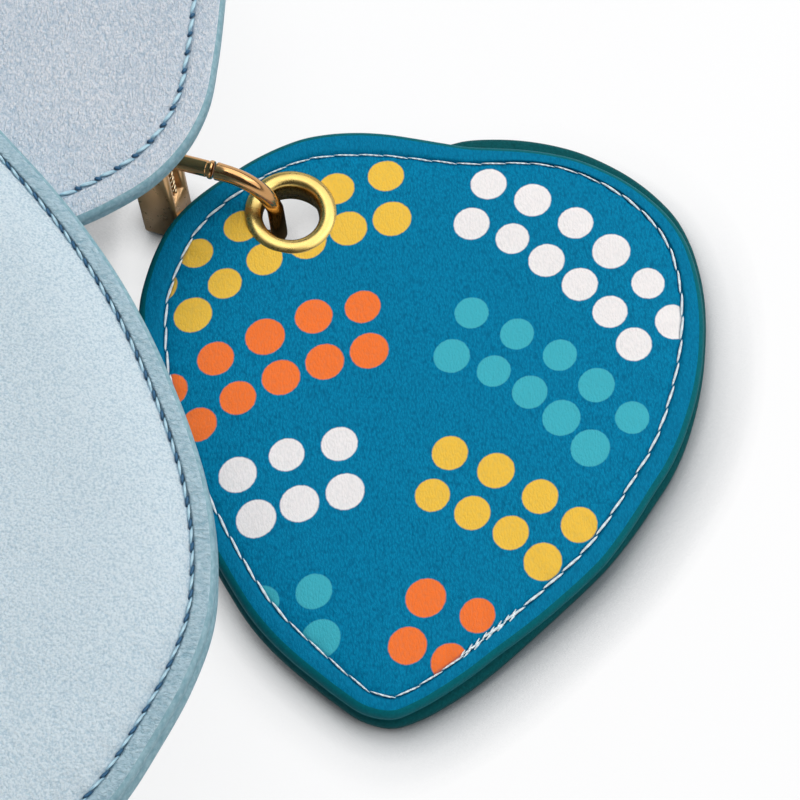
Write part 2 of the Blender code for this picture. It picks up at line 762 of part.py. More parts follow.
def clasp_seat():
    """Where the clasp's axes are: its eye hangs on the ring's far end."""
    eye = (CHARM_RING_BAR + CHARM_RING_LONG - EYE_SLACK, CHARM_RING_AT, CHARM_RING_HIGH)
    turned_in = Matrix.Rotation(CLASP_TURN, 4, "Z") @ Matrix.Rotation(CLASP_PITCH, 4, "Y")
    leaning = turned_in @ Matrix.Rotation(CLASP_LEAN, 4, "X")
    return Matrix.Translation(eye) @ leaning @ Matrix.Translation((-EYE_AT, 0, 0))


def make_clasp():
    """The snap clasp: swivel eye, block, hook, gate with its pin, and spring."""
    at = place("clasp_place", clasp_seat())
    half_tall = BLOCK_TALL / 2
    half_wide = BLOCK_WIDE / 2
    gate_high = half_tall - HOOK_WIRE - GAP
    pocket = HOOK_WIRE + GAP

    body = rounded_rectangle(BLOCK_LONG, BLOCK_WIDE, BLOCK_CORNER, 1, middle=(BLOCK_LONG / 2, 0.0))
    clasp_block = solid(
        "clasp_block", [level(body, -half_tall), level(body, half_tall)], "rosy_gold", at
    )
    window = block(
        "clasp_pocket_cutter",
        (BLOCK_BACK, -pocket, BLOCK_FLOOR - half_tall),
        (2 * BLOCK_LONG, pocket, BLOCK_TALL),
        "rosy_gold",
        at,
    )
    boolean(clasp_block, window, "DIFFERENCE")
    bores = (
        ("post", (-BLOCK_LONG, 0, 0), "Y", POST_RADIUS + GAP, 2 * BLOCK_LONG),
        ("hook", (BLOCK_LONG - HOOK_ROOT - GAP, 0, -gate_high), "Y", HOOK_WIRE + GAP, BLOCK_LONG),
        ("pin", (GATE_PIVOT_X, -BLOCK_WIDE, gate_high), "X", GATE_PIN + GAP, 2 * BLOCK_WIDE),
    )
    for name, start, axis, radius, long in bores:
        turn = Matrix.Rotation(math.radians(90 if axis == "Y" else -90), 4, axis)
        bore = turned(
            f"clasp_{name}_cutter",
            [(radius, 0.0), (radius, long)],
            12,
            "rosy_gold",
            place(f"clasp_{name}_bore", Matrix.Translation(start) @ turn, at),
        )
        boolean(clasp_block, bore, "DIFFERENCE")

    spine = BLOCK_LONG - HOOK_ROOT
    path = [(spine, 0.0, -gate_high), (HOOK_NOSE_X - 2 * HOOK_BEND, 0.0, -gate_high)]
    for step in range(7):
        angle = math.radians(-90 + 90 * step / 6)
        x = HOOK_NOSE_X - HOOK_BEND + HOOK_BEND * math.cos(angle)
        path.append((x, 0.0, -gate_high + HOOK_BEND + HOOK_BEND * math.sin(angle)))
    nose_start = GATE_PIVOT_X + GATE_LONG - GATE_PIN + GAP
    for step in range(1, 10):
        angle = math.radians(90 * step / 9)
        x = nose_start + (HOOK_NOSE_X - nose_start) * math.cos(angle) ** NOSE_ROUND
        path.append((x, 0.0, gate_high * math.sin(angle)))
    tube("clasp_hook", path, HOOK_WIRE, "rosy_gold", at)

    gate_hinge = place(
        "clasp_gate_hinge", Matrix.Translation((GATE_PIVOT_X, 0, gate_high)), at
    )
    heel = BLOCK_BACK + POST_HEAD_THICK + 2 * GAP - GATE_PIVOT_X
    gate = tube(
        "clasp_gate",
        [(heel, 0, 0), (GATE_LONG - GATE_PIN, 0, 0)],
        HOOK_WIRE,
        "rosy_gold",
        gate_hinge,
        sides=12,
    )
    pin_turn = Matrix.Rotation(math.radians(90), 4, "X")
    pin_place = place("clasp_gate_pin_place", pin_turn, gate_hinge)
    pin_hole = turned(
        "clasp_gate_bore_cutter",
        [(GATE_PIN + GAP, -BLOCK_WIDE), (GATE_PIN + GAP, BLOCK_WIDE)],
        10,
        "rosy_gold",
        pin_place,
    )
    boolean(gate, pin_hole, "DIFFERENCE")
    turned(
        "clasp_gate_pin",
        [(GATE_PIN, -half_wide), (GATE_PIN, half_wide)],
        10,
        "spring_steel",
        place("clasp_pin_place", Matrix.Translation((GATE_PIVOT_X, 0, gate_high)) @ pin_turn, at),
    )

    low = BLOCK_FLOOR - half_tall + SPRING_WIRE + GAP
    high = gate_high - HOOK_WIRE - SPRING_WIRE - 2 * GAP
    steps = SPRING_TURNS * 8
    coil = []
    for step in range(steps + 1):
        angle = 2 * math.pi * step / 8
        height = low + (high - low) * step / steps
        coil.append((SPRING_RADIUS * math.cos(angle), SPRING_RADIUS * math.sin(angle), height))
    spring_x = BLOCK_BACK + POST_HEAD_THICK + 2 * GAP + SPRING_RADIUS + SPRING_WIRE
    spring_place = place("clasp_spring_place", Matrix.Translation((spring_x, 0, 0)), at)
    tube("clasp_spring", coil, SPRING_WIRE, "spring_steel", spring_place, sides=5)

    eye_hinge = place("clasp_eye_hinge", Matrix.Translation((EYE_AT, 0, 0)), at)
    ring = [(*point, 0.0) for point in circle(EYE_RADIUS, 20)]
    eye = tube("clasp_eye", ring, EYE_WIRE, "rosy_gold", eye_hinge, closed=True)
    neck = -EYE_AT - GAP
    head = BLOCK_BACK - EYE_AT + GAP
    post = turned(
        "clasp_post_form",
        [
            (POST_RADIUS, EYE_RADIUS), (1.4 * POST_RADIUS, EYE_RADIUS + 0.5 * EYE_WIRE),
            (1.4 * POST_RADIUS, neck), (POST_RADIUS, neck), (POST_RADIUS, head),
            (POST_HEAD, head), (POST_HEAD, head + POST_HEAD_THICK),
        ],
        10,
        "rosy_gold",
        place("clasp_post_place", Matrix.Rotation(math.radians(90), 4, "Y"), eye_hinge),
    )
    boolean(eye, post, "UNION")


def make_charm():
    """The charm's two leather panels and the eyelet that is set through them."""
    tilt = Matrix.Rotation(CHARM_TILT, 4, Vector(CHARM_TILT_AXIS))
    hung = clasp_seat() @ Vector((HOOK_NOSE_X + CHARM_SLACK, CHARM_ASIDE, CHARM_HANG))
    eyelet = tilt @ Vector((*EYELET_AT, 0))
    at = place(
        "charm_place",
        Matrix.Translation((hung.x - eyelet.x, hung.y - eyelet.y, CHARM_HIGH)) @ tilt,
    )
    outline = smooth_loop(CHARM, CHARM_POINTS)
    face = [point.to_2d() for point in outline]
    rear = []
    for point, outer, knot in zip(face, inset(face, -1.0), outline):
        rear.append(point + (outer - point) * knot.z)
    pads = (
        pad("charm_back", rear, 0.0, CHARM_PAD, 0, "charm_edge", at),
        pad("charm_front", face, CHARM_PAD + GAP, CHARM_PAD, CHARM_PUFF, "charm_teal", at),
    )
    centre = place("charm_eyelet_place", Matrix.Translation((*EYELET_AT, 0.0)), at)
    barrel = EYELET_BORE + EYELET_WALL
    seat = EYELET_FLANGE + GAP
    washer_seat = WASHER_OUTER + GAP
    for piece in pads:
        bore = turned(
            f"{piece.name}_eyelet_cutter",
            [
                (washer_seat, -CHARM_TOTAL), (washer_seat, WASHER_THICK + GAP),
                (barrel + GAP, WASHER_THICK + GAP), (barrel + GAP, CHARM_TOTAL), (seat, CHARM_TOTAL),
                (seat, 2 * CHARM_TOTAL),
            ],
            24,
            "charm_teal",
            centre,
        )
        boolean(piece, bore, "DIFFERENCE")
    top = CHARM_TOTAL + GAP + EYELET_FLANGE_THICK
    low = CHARM_TOTAL + GAP
    middle = (EYELET_BORE + EYELET_FLANGE) / 2
    ring_piece(
        "charm_eyelet",
        [
            (barrel, 0.0), (barrel, low), (EYELET_FLANGE, low),
            (EYELET_FLANGE, low + 0.35 * EYELET_FLANGE_THICK), (middle + EYELET_CROWN, top),
            (middle - EYELET_CROWN, top), (EYELET_BORE, low + 0.2 * EYELET_FLANGE_THICK),
            (EYELET_BORE, 0.0),
        ],
        28,
        "yellow_gold",
        centre,
    )
    ring_piece(
        "charm_eyelet_washer",
        [
            (barrel + GAP, 0.0), (WASHER_OUTER, 0.0), (WASHER_OUTER, WASHER_THICK),
            (barrel + GAP, WASHER_THICK),
        ],
        24,
        "yellow_gold",
        centre,
    )


def main():
    clear_scene()
    make_pouch()
    make_zip()
    make_front()
    make_strap()
    make_charm_ring()
    make_clasp()
    make_charm()
    bpy.context.view_layer.update()


main()
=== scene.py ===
"""The looks of a crossbody bag with a winged leather front and a dotted charm on a snap clasp.

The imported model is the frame: each piece here takes its place from a node or a joint of it.
Metres, +Z up. The bag lies on its back, and the camera looks down on its right edge.
"""
import json
import math

import bmesh
import bpy
import numpy as np
from mathutils import Matrix, Vector, noise


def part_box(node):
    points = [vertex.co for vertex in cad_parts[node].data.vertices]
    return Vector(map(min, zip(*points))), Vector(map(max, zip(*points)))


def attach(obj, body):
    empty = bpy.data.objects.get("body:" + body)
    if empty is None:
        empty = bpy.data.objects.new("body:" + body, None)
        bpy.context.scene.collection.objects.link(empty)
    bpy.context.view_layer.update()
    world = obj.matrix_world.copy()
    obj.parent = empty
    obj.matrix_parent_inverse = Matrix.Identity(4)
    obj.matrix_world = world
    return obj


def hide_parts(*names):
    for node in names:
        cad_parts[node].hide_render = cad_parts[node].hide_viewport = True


# Stitching
WING_STITCH = 0.0028
CHARM_STITCH = 0.0034
PLAIN_STITCH = 0.0030
THREAD = 0.00023
UPPER_SEAM = 0.0039
LOWER_SEAM = 0.0026
PLAIN_SEAM = 0.0032

# Pads: how round the lower and the upper rim are, how far the face puffs up and over what run,
# and how deep and wide the seam's groove is
RIM = 0.0009
RIM_TOP = 0.0013
PAD_AROUND = 640
PAD_LUMP = 0.00012
PAD_SLACK = 0.00012
LOWER_CROWN = 0.0026
CHARM_CROWN = 0.0008
CROWN_RUN = 0.011
SEAM_DEPTH = 0.00034
SEAM_HALF = 0.0003

# The face's puckers beside a seam: how far from it, and how strong they still are there
PUCKERS = [(0.0007, 0.8), (0.0013, 0.6), (0.0021, 0.4), (0.0032, 0.2), (0.0046, 0.08)]

# A stitch from end to end: where along its half length, and how thick its thread is there
STITCH_SHAPE = [
    (-1.0, 0.35), (-0.88, 0.52), (-0.68, 0.76), (-0.4, 0.95), (0.0, 1.04), (0.4, 0.95), (0.68, 0.76),
    (0.88, 0.52), (1.0, 0.35),
]

# How wide the charm's border is, in each direction from the charm's middle (degrees and metres)
CHARM_BORDER = [
    (-135, 0.0030), (-110, 0.0033), (-90, 0.0024), (-60, 0.0030), (-30, 0.0033), (0, 0.0036),
    (20, 0.0030), (60, 0.0023), (80, 0.0034), (100, 0.0040), (125, 0.0032), (150, 0.0040),
    (180, 0.0034),
]
EYELET_AT = (-0.0153, 0.0241)

# Where the charm's thread gets thinner, and between which X its back's tacks show, below which Y
THREAD_TOP = 0.0065
THREAD_TIP = -0.0580
TACK_FROM = 0.0225
TACK_TO = 0.0305
TACK_BELOW = -0.0500

# Charm print: double rows of dots, each on an arc that falls away from a middle line
PRINT_TURN = math.radians(3)
PRINT_MIDDLE = 0.0004
PRINT_DRIFT = 0.095
PRINT_TOP = 0.0313
ARC_RADIUS = 0.050
ARC_ASIDE = 0.0050
DOT_START = 0.0072
DOT_STEP = 0.0068
ROW_GAP = 0.0065
GROUP_GAP = 0.0198
GROUP_OVER = 0.0062
GROUP_DOTS = 5.6
DOTS_LOST = 1.25
DOT_RADIUS = 0.00242
DOT_STRAY = 0.0006
DOT_VARIES = 0.0004
DOT_RAGGED = 0.00014
DOT_EDGE = 0.00008

# Clasp, in its own axes: X along the swivel, Z from the hook's spine to the gate
BLOCK_LONG = 0.0051
BLOCK_WIDE = 0.0059
BLOCK_TALL = 0.0174
BLOCK_BACK = 0.0013
BLOCK_FLOOR = 0.0070
BLOCK_CHAMFER = 0.00045
HOOK_WIRE = 0.00115
HOOK_NOSE_X = 0.0194
HOOK_BEND = 0.0030
HOOK_ROOT = 0.0025
HOOK_STEP = 0.0003
NOSE_ROUND = 0.8
GATE_LONG = 0.0087
GATE_PIVOT_X = 0.0028
GATE_PIN = 0.0004
POST_RADIUS = 0.0008
POST_HEAD = 0.0013
POST_HEAD_THICK = 0.0006
EYE_RADIUS = 0.0029
EYE_WIRE = 0.0010
EYE_CLEAR = 0.0005
SPRING_RADIUS = 0.00085
SPRING_WIRE = 0.00022
SPRING_TURNS = 6
GAP = 0.0003
GATE_HIGH = BLOCK_TALL / 2 - HOOK_WIRE - GAP
GATE_TIP = GATE_PIVOT_X + GATE_LONG - GATE_PIN

# The lip at the gate's free end: how far back from the end, and how thick as a share of the wire
GATE_LIP = [
    (0.00095, 1.0), (0.00085, 0.93), (0.00070, 0.93), (0.00062, 1.06), (0.00045, 1.13),
    (0.00020, 1.13), (0.00004, 1.06), (0.0, 0.94),
]

# Eyelet: the radius and the height over the charm's face, in millimetres, of its rolled top and
# of its barrel, which flares below
EYELET_TOP = [
    (6.27, 0.10), (6.32, 0.34), (6.25, 0.52), (6.08, 0.66), (5.75, 0.80), (5.35, 0.88), (4.95, 0.88),
    (4.60, 0.80), (4.32, 0.66), (4.12, 0.46), (3.99, 0.18), (3.92, -0.20), (3.88, -0.70),
    (3.88, -1.60),
]
EYELET_FLARED = [(4.05, -2.40), (4.40, -3.20), (4.80, -4.20), (5.00, -5.00), (5.05, -5.75)]
EYELET_WALL = 0.00035
EYELET_SEAT = 0.0055
EYELET_ZONE = 0.0085
CHARM_THICK = 0.0055
WASHER_OUTER = 0.0058
WASHER_THICK = 0.0005

# Rings and tabs
CHARM_RING_RADIUS = 0.0050
CHARM_RING_LONG = 0.0075
CHARM_RING_WIRE = 0.0011
STRAP_RING_WIDE = 0.0140
STRAP_RING_LONG = 0.0095
STRAP_RING_CORNER = 0.0022
STRAP_RING_WIRE = 0.0012
TAB_THICK = 0.0014
TAB_FOOT = 0.0080
TAB_SEAM_IN = 0.0014
TAB_SEAM = (0.0042, 0.0074)
TAB_STITCH = 0.0028
FOLD_BEVEL = 0.00035

# Strap, laid as its solid lies
STRAP_AT = 0.0565
STRAP_WIDE = 0.0110
STRAP_THICK = 0.0018
STRAP_EDGE = 0.00055
STRAP_THREAD = 0.00020
STITCH_IN = 0.0018
STRAP_SEAM = STRAP_WIDE / 2 - STITCH_IN
STRAP_LAP = 0.0220
STRAP_LIFT = 0.0002
STRAP_STEP = 0.0015
STRAP_TWIST_RUN = 0.0550
RIVET_IN = 0.0140
RIVET_HEAD = 0.0027
RIVET_HEAD_THICK = 0.0008
STRAP_ROUTE = [
    (0.0580, 0.1160), (0.0700, 0.1450), (0.0880, 0.1800), (0.0990, 0.2200), (0.0960, 0.2600),
    (0.0780, 0.2880), (0.0580, 0.2900), (0.0450, 0.2680), (0.0410, 0.2300), (0.0400, 0.1800),
    (0.0370, 0.1530), (0.0275, 0.1420), (0.0180, 0.1530), (0.0150, 0.1800), (0.0142, 0.2100),
    (0.0100, 0.2280),
]
STRAP_MIDDLE = (0.0, 0.2340)

# Pouch
WALL_CORNER = 0.0062
WALL_RIM = 0.0006
WALL_SEAM = 0.0030
GUSSET_CORNER = 0.0050
GUSSET_THICK = 0.0016
LINING_IN = 0.0019
LINING_THICK = 0.0006
SAG = 0.0011
MOUTH_HALF = 0.0400
MOUTH_TALL = 0.0055

# Camera: what it looks at, how far away and how high above the table
CAMERA_TARGET = (0.115, 0.0, 0.0)
CAMERA_DISTANCE = 0.285
CAMERA_ELEVATION = math.radians(67)
CAMERA_SEES = 0.1096
SENSOR = 36.0

# Lamps: place, size along both sides, power and colour; all of them point at one place
LAMPS = [
    ("key", (0.36, 0.34, 0.80), 1.00, 0.90, 5.25, (1.0, 1.0, 1.0)),
    ("top", (0.10, 0.40, 0.90), 1.00, 0.80, 0.6, (0.97, 0.98, 1.0)),
    ("left", (-0.20, 0.30, 0.95), 0.50, 0.50, 0.9, (1.0, 1.0, 1.0)),
    ("right", (0.60, -0.05, 0.60), 0.60, 0.50, 1.4, (1.0, 1.0, 1.0)),
]
LAMPS_AIM = Vector((0.10, 0.0, 0.0))

# Light that the world gives beside the lamps, and how much of the table's white is the backdrop's
WORLD_LIGHT = 0.27
BACKDROP_SHARE = 0.80
WHITE = (1.0, 1.0, 1.0, 1.0)
FLOOR = 3.0

# Shade on the table: how near a piece has to be for its contact shade, how much further in what
# metal mirrors, how far its soft shade reaches, and where the light of that comes from
SHADE_NEAR = 0.0046
SHADE_MIRRORED = 0.0100
SHADE_SOFT = 0.0090
SHADE_FROM = (-0.72, 0.54, 0.42)
SHADE_BELOW = (0.0, -0.9, 0.42)


def linear(code):
    """A colour written as six hexadecimal digits, as the linear values that shaders take."""
    values = []
    for start in (0, 2, 4):
        part = int(code[start : start + 2], 16) / 255
        values.append(part / 12.92 if part <= 0.04045 else ((part + 0.055) / 1.055) ** 2.4)
    return (*values, 1.0)


class Value:
    """A number in a shader, which Python's signs join to others with math nodes."""

    def __init__(self, tree, socket):
        self.tree = tree
        self.socket = socket

    def __add__(self, other):
        return self.tree.math("ADD", self, other)

    def __sub__(self, other):
        return self.tree.math("SUBTRACT", self, other)

    def __rsub__(self, other):
        return self.tree.math("SUBTRACT", other, self)

    def __mul__(self, other):
        return self.tree.math("MULTIPLY", self, other)

    def __truediv__(self, other):
        return self.tree.math("DIVIDE", self, other)

    def __abs__(self):
        return self.tree.math("ABSOLUTE", self)


class Tree:
    """Adds nodes to a material or a world and joins them."""

    def __init__(self, owner):
        owner.use_nodes = True
        self.owner = owner
        self.nodes = owner.node_tree.nodes
        self.links = owner.node_tree.links

    def put(self, socket, value):
        """Sets an input to a number or a colour, or joins it to another node's output."""
        value = value.socket if isinstance(value, Value) else value
        if isinstance(value, bpy.types.NodeSocket):
            self.links.new(value, socket)
        else:
            socket.default_value = value

    def add(self, kind, inputs=None, **settings):
        made = self.nodes.new(kind)
        for key, value in settings.items():
            setattr(made, key, value)
        for key, value in (inputs or {}).items():
            self.put(made.inputs[key], value)
        return made

    def math(self, operation, first, second=0.0):
        made = self.add("ShaderNodeMath", {0: first, 1: second}, operation=operation)
        return Value(self, made.outputs[0])

    def vector(self, operation, first, second):
        made = self.add("ShaderNodeVectorMath", {0: first, 1: second}, operation=operation)
        return made.outputs[0]

    def axis(self, vector, name):
        return Value(self, self.add("ShaderNodeSeparateXYZ", {"Vector": vector}).outputs[name])

    def place(self):
        """Where a point is on its object, in metres."""
        return self.add("ShaderNodeTexCoord").outputs["Object"]

    def layer(self, name, axis):
        """One of the two numbers that a mesh carries at each point."""
        return self.axis(self.add("ShaderNodeUVMap", uv_map=name).outputs[0], axis)

    def mix(self, share, first, second):
        made = self.add("ShaderNodeMix", data_type="RGBA")
        for key, value in (("Factor_Float", share), ("A_Color", first), ("B_Color", second)):
            self.put(next(s for s in made.inputs if s.identifier == key), value)
        return next(s for s in made.outputs if s.identifier == "Result_Color")

    def noise(self, where, scale, detail=3.0, roughness=0.55):
        made = self.add(
            "ShaderNodeTexNoise",
            {"Vector": where, "Scale": scale, "Detail": detail, "Roughness": roughness},
        )
        return Value(self, made.outputs["Fac"])

    def ramp(self, value, low, high, start=0.0, end=1.0):
        made = self.add(
            "ShaderNodeMapRange",
            {"Value": value, "From Min": low, "From Max": high, "To Min": start, "To Max": end},
        )
        return Value(self, made.outputs[0])

    def colours(self, value, stops, interpolation="LINEAR"):
        """A colour for each value, from a few positions with their colours."""
        made = self.add("ShaderNodeValToRGB", {"Fac": value})
        made.color_ramp.interpolation = interpolation
        elements = made.color_ramp.elements
        for _ in stops[2:]:
            elements.new(1.0)
        for element, (position, colour) in zip(elements, stops):
            element.position = position
            element.color = colour
        return made.outputs["Color"]

    def looked_at(self):
        """1 for the camera and for what metal or glass shows it, and 1 for metal alone."""
        path = self.add("ShaderNodeLightPath").outputs
        seen = path["Is Camera Ray"]
        for ray in ("Is Glossy Ray", "Is Transmission Ray"):
            seen = self.math("MAXIMUM", seen, path[ray])
        return seen, Value(self, path["Is Glossy Ray"])

    def finish(self, colour, roughness, height=None, depth=0.0, metallic=0.0, specular=0.5):
        shader = self.nodes["Principled BSDF"]
        self.put(shader.inputs["Base Color"], colour)
        self.put(shader.inputs["Roughness"], roughness)
        shader.inputs["Metallic"].default_value = metallic
        shader.inputs["Specular IOR Level"].default_value = specular
        if height is not None:
            bump = self.add("ShaderNodeBump", {"Strength": 1.0, "Distance": depth, "Height": height})
            self.put(shader.inputs["Normal"], bump.outputs[0])
        return self.owner


def new_tree(name):
    return Tree(bpy.data.materials.new(name))


def leather_grain(tree, cell, stretch=(1.0, 1.0, 1.0), wrinkle=0.0):
    """A height of small irregular pebbles with creases between them, for cells of this size."""
    where = tree.place()
    placed = tree.add("ShaderNodeMapping", {"Vector": where, "Scale": stretch}).outputs[0]
    bend = tree.add("ShaderNodeTexNoise", {"Vector": placed, "Scale": 0.55 / cell, "Detail": 2.0})
    shifted = tree.vector("SUBTRACT", bend.outputs["Color"], (0.5, 0.5, 0.5))
    moved = tree.vector("ADD", placed, tree.vector("MULTIPLY", shifted, (1.6 * cell,) * 3))
    pebbles = tree.add(
        "ShaderNodeTexVoronoi", {"Vector": moved, "Scale": 1 / cell}, feature="SMOOTH_F1"
    )
    fine = tree.noise(placed, 3.0 / cell, 4.0, 0.65)
    height = Value(tree, pebbles.outputs["Distance"]) * -0.9 + fine * 0.55
    if wrinkle:
        folds = tree.noise(placed, 0.8 / cell, 3.0, 0.5)
        height = height + tree.ramp(abs(folds - 0.5), 0.0, 0.10, -wrinkle, 0.0)
    return where, height


def sewn_finish(tree, colour, groove_shade, start, grain, depth, roughness, specular):
    """A leather's last steps: painted shade along its sunk seam, pebbled, and duller between the
    pebbles.
    """
    # Painted shade: the colour darkens towards the seam's groove.
    near = tree.ramp(tree.layer("seam", "X"), start, 1.0, 0.0, 0.7)
    rough = tree.ramp(grain, -0.4, 0.3, roughness + 0.12, roughness)
    colour = tree.mix(near, colour, linear(groove_shade))
    return tree.finish(colour, rough, grain, depth, specular=specular)


def leather(name, code, dark, cell, depth, roughness=0.5, stretch=(1.0, 1.0, 1.0), crease_shade=1.0,
            groove_shade="3F7390", wrinkle=0.0, specular=0.2, fleck=0.0):
    """Grained leather: pebbled bump, painted shade in its creases, soft patches of dye, and painted
    shade along its seam.
    """
    tree = new_tree(name)
    where, grain = leather_grain(tree, cell, stretch, wrinkle)
    patches = tree.noise(where, 60.0, 3.0)
    # The grain's creases get painted shade; soft patches of dye and random flecks come on top.
    share = tree.ramp(grain, -0.42 - wrinkle, 0.12, crease_shade, 0.0)
    share = share + tree.ramp(patches, 0.3, 0.7, 0.0, 0.10)
    if fleck:
        specks = tree.noise(where, 1.3 / cell, 2.0, 0.7)
        share = tree.math("MAXIMUM", share + tree.ramp(specks, 0.38, 0.62, -fleck, fleck), 0.0)
    colour = tree.mix(share, linear(code), linear(dark))
    return sewn_finish(tree, colour, groove_shade, 0.55, grain, depth, roughness, specular)


def thread(name, code, dark, start=0.55):
    """Twisted thread, with painted shade in the valleys between its plies and where it dips into its
    holes.
    """
    tree = new_tree(name)
    fibres = tree.noise(tree.place(), 9000.0, 2.0)
    twist = tree.math("SINE", tree.layer("run", "Y") * (2 * math.pi))
    # Painted shade between the plies and at both ends of each stitch.
    ply_shade = tree.ramp(twist, -1.0, 0.2, 0.35, 0.0)
    hole_shade = tree.ramp(tree.layer("run", "X"), start, 0.95)
    colour = tree.mix(tree.math("MAXIMUM", ply_shade, hole_shade), linear(code), linear(dark))
    return tree.finish(colour, 0.42, twist * 0.6 + fibres, 0.00007, specular=0.45)


def metal(name, code, worn, roughness=0.14, metallic=1.0):
    """Polished plating with faint rubbing marks."""
    tree = new_tree(name)
    where = tree.place()
    rub = tree.noise(where, 700.0, 5.0, 0.7)
    patch = tree.noise(where, 120.0, 2.0)
    colour = tree.mix(tree.ramp(patch, 0.3, 0.8, 0.0, 0.6), linear(code), linear(worn))
    dull = tree.ramp(rub, 0.35, 0.8, roughness, roughness + 0.12)
    return tree.finish(colour, dull, rub, 0.000006, metallic=metallic)


def woven(name, code, dark, pitch):
    """Plain woven cloth with threads this far apart, and painted shade between the threads."""
    tree = new_tree(name)
    where = tree.place()
    cloth = 0.0
    for direction in "XYZ":
        wave = tree.add(
            "ShaderNodeTexWave",
            {"Vector": where, "Scale": 0.31 / pitch, "Distortion": 0.3, "Detail": 1.0},
            bands_direction=direction,
        )
        cloth = tree.math("MAXIMUM", wave.outputs["Fac"], cloth)
    # Painted shade: darker between the threads.
    colour = tree.mix(cloth, linear(dark), linear(code))
    return tree.finish(colour, 0.85, cloth, 0.6 * pitch)


def print_dots(tree, where):
    """Where the printed dots lie, from 0 to 1, and which of four colours is there."""
    placed = tree.vector("ADD", where, (*EYELET_AT, 0.0))
    turned = tree.add("ShaderNodeMapping", {"Vector": placed, "Rotation": (0.0, 0.0, PRINT_TURN)})
    ragged = tree.noise(where, 1900.0, 1.0)
    y = tree.axis(turned.outputs[0], "Y")
    x = tree.axis(turned.outputs[0], "X") - (y * PRINT_DRIFT + PRINT_MIDDLE)
    right = tree.math("GREATER_THAN", x, 0.0)
    across = abs(x) + ARC_ASIDE
    rise = tree.math("SQRT", tree.math("MAXIMUM", ARC_RADIUS**2 - across * across, 0.0))
    level = y + (ARC_RADIUS - rise)
    group = tree.math("FLOOR", (PRINT_TOP + GROUP_OVER - level) / GROUP_GAP)
    up = y - (group * -GROUP_GAP + (PRINT_TOP - ARC_RADIUS))
    first = math.asin((DOT_START + ARC_ASIDE) / ARC_RADIUS)
    step = DOT_STEP / ARC_RADIUS
    number = (tree.math("ARCTAN2", across, up) - (first - step / 2)) / step
    number = tree.math("MAXIMUM", tree.math("FLOOR", number), 0.0)
    shown = tree.math("LESS_THAN", number, group * -DOTS_LOST + GROUP_DOTS)
    shown = shown * tree.math("GREATER_THAN", group, -0.5)
    turn = number * step + first
    inside = 0.0
    for row in range(2):
        reach = ARC_RADIUS - row * ROW_GAP
        cell = tree.add("ShaderNodeCombineXYZ", {"X": number, "Y": group, "Z": right + 2.0 * row})
        chance = tree.add("ShaderNodeTexWhiteNoise", {"Vector": cell.outputs[0]})
        stray = tree.add("ShaderNodeSeparateColor", {"Color": chance.outputs["Color"]})
        dx = Value(tree, stray.outputs[0]) * DOT_STRAY
        dx = dx + (across - tree.math("SINE", turn) * reach - DOT_STRAY / 2)
        dy = Value(tree, stray.outputs[1]) * DOT_STRAY
        dy = dy + (up - tree.math("COSINE", turn) * reach - DOT_STRAY / 2)
        radius = Value(tree, chance.outputs["Value"]) * DOT_VARIES + (DOT_RADIUS - DOT_VARIES / 2)
        radius = ragged * DOT_RAGGED + (radius - DOT_RAGGED / 2)
        far = tree.math("SQRT", dx * dx + dy * dy)
        dot = tree.ramp(radius - far, -DOT_EDGE, DOT_EDGE)
        inside = tree.math("MAXIMUM", dot, inside)
    within = tree.math("GREATER_THAN", tree.layer("seam", "Y"), 0.0)
    colour = tree.math("FRACT", group * 0.25 + right * 0.5 + 2.01)
    return inside * shown * within, colour


def charm_print(name):
    """Smooth grained leather, printed with double rows of dots in four colours, with painted shade in
    its creases and along its seam.
    """
    tree = new_tree(name)
    where, grain = leather_grain(tree, 0.00024, (1.0, 0.5, 1.0))
    inside, which = print_dots(tree, where)
    dyes = tree.colours(
        which,
        [(0.0, linear("F8C749")), (0.25, linear("FF7C36")), (0.5, linear("F8F3F2")),
         (0.75, linear("43B5C6"))],
        "CONSTANT",
    )
    soft = tree.noise(where, 45.0, 2.0)
    # The printed leather's ground gets painted shade in the grain's creases.
    base = tree.mix(tree.ramp(grain, -0.42, 0.10, 1.0, 0.0), linear("0387B2"), linear("01658C"))
    base = tree.mix(tree.ramp(soft, 0.3, 0.75, 0.0, 0.25), base, linear("02749E"))
    worn = tree.mix(0.10, dyes, linear("5A8C98"))
    printed = tree.mix(tree.ramp(grain, -0.42, 0.05, 0.9, 0.0), dyes, worn)
    colour = tree.mix(inside, base, printed)
    return sewn_finish(tree, colour, "014F74", 0.5, grain, 0.00008, 0.5, 0.04)


def new_object(name, data):
    made = bpy.data.objects.new(name, data)
    bpy.context.scene.collection.objects.link(made)
    return made


def mesh_object(name, vertices, faces, looks, bands=None, matrix=None, smooth=True):
    """A mesh object with one material, or one for each band of faces."""
    mesh = bpy.data.meshes.new(name)
    mesh.from_pydata([tuple(v) for v in vertices], [], faces)
    for look in looks if isinstance(looks, tuple) else [looks]:
        mesh.materials.append(look)
    if bands is not None:
        mesh.polygons.foreach_set("material_index", bands)
    if smooth:
        mesh.shade_smooth()
    mesh.update()
    made = new_object(name, mesh)
    if matrix is not None:
        made.matrix_world = matrix
    return made


def carry(piece, name, values):
    """Lets a mesh carry two numbers at each point, for its material to read."""
    layer = piece.data.uv_layers.new(name=name)
    corners = np.empty(len(piece.data.loops), int)
    piece.data.loops.foreach_get("vertex_index", corners)
    layer.data.foreach_set("uv", np.asarray(values)[corners].ravel())


def tube_faces(rows, count, closed=False):
    """The quads between rings of points, each ring with the same count."""
    faces = []
    for row in range(rows if closed else rows - 1):
        a, b = row * count, (row + 1) % rows * count
        faces += [(a + k, a + (k + 1) % count, b + (k + 1) % count, b + k) for k in range(count)]
    return faces


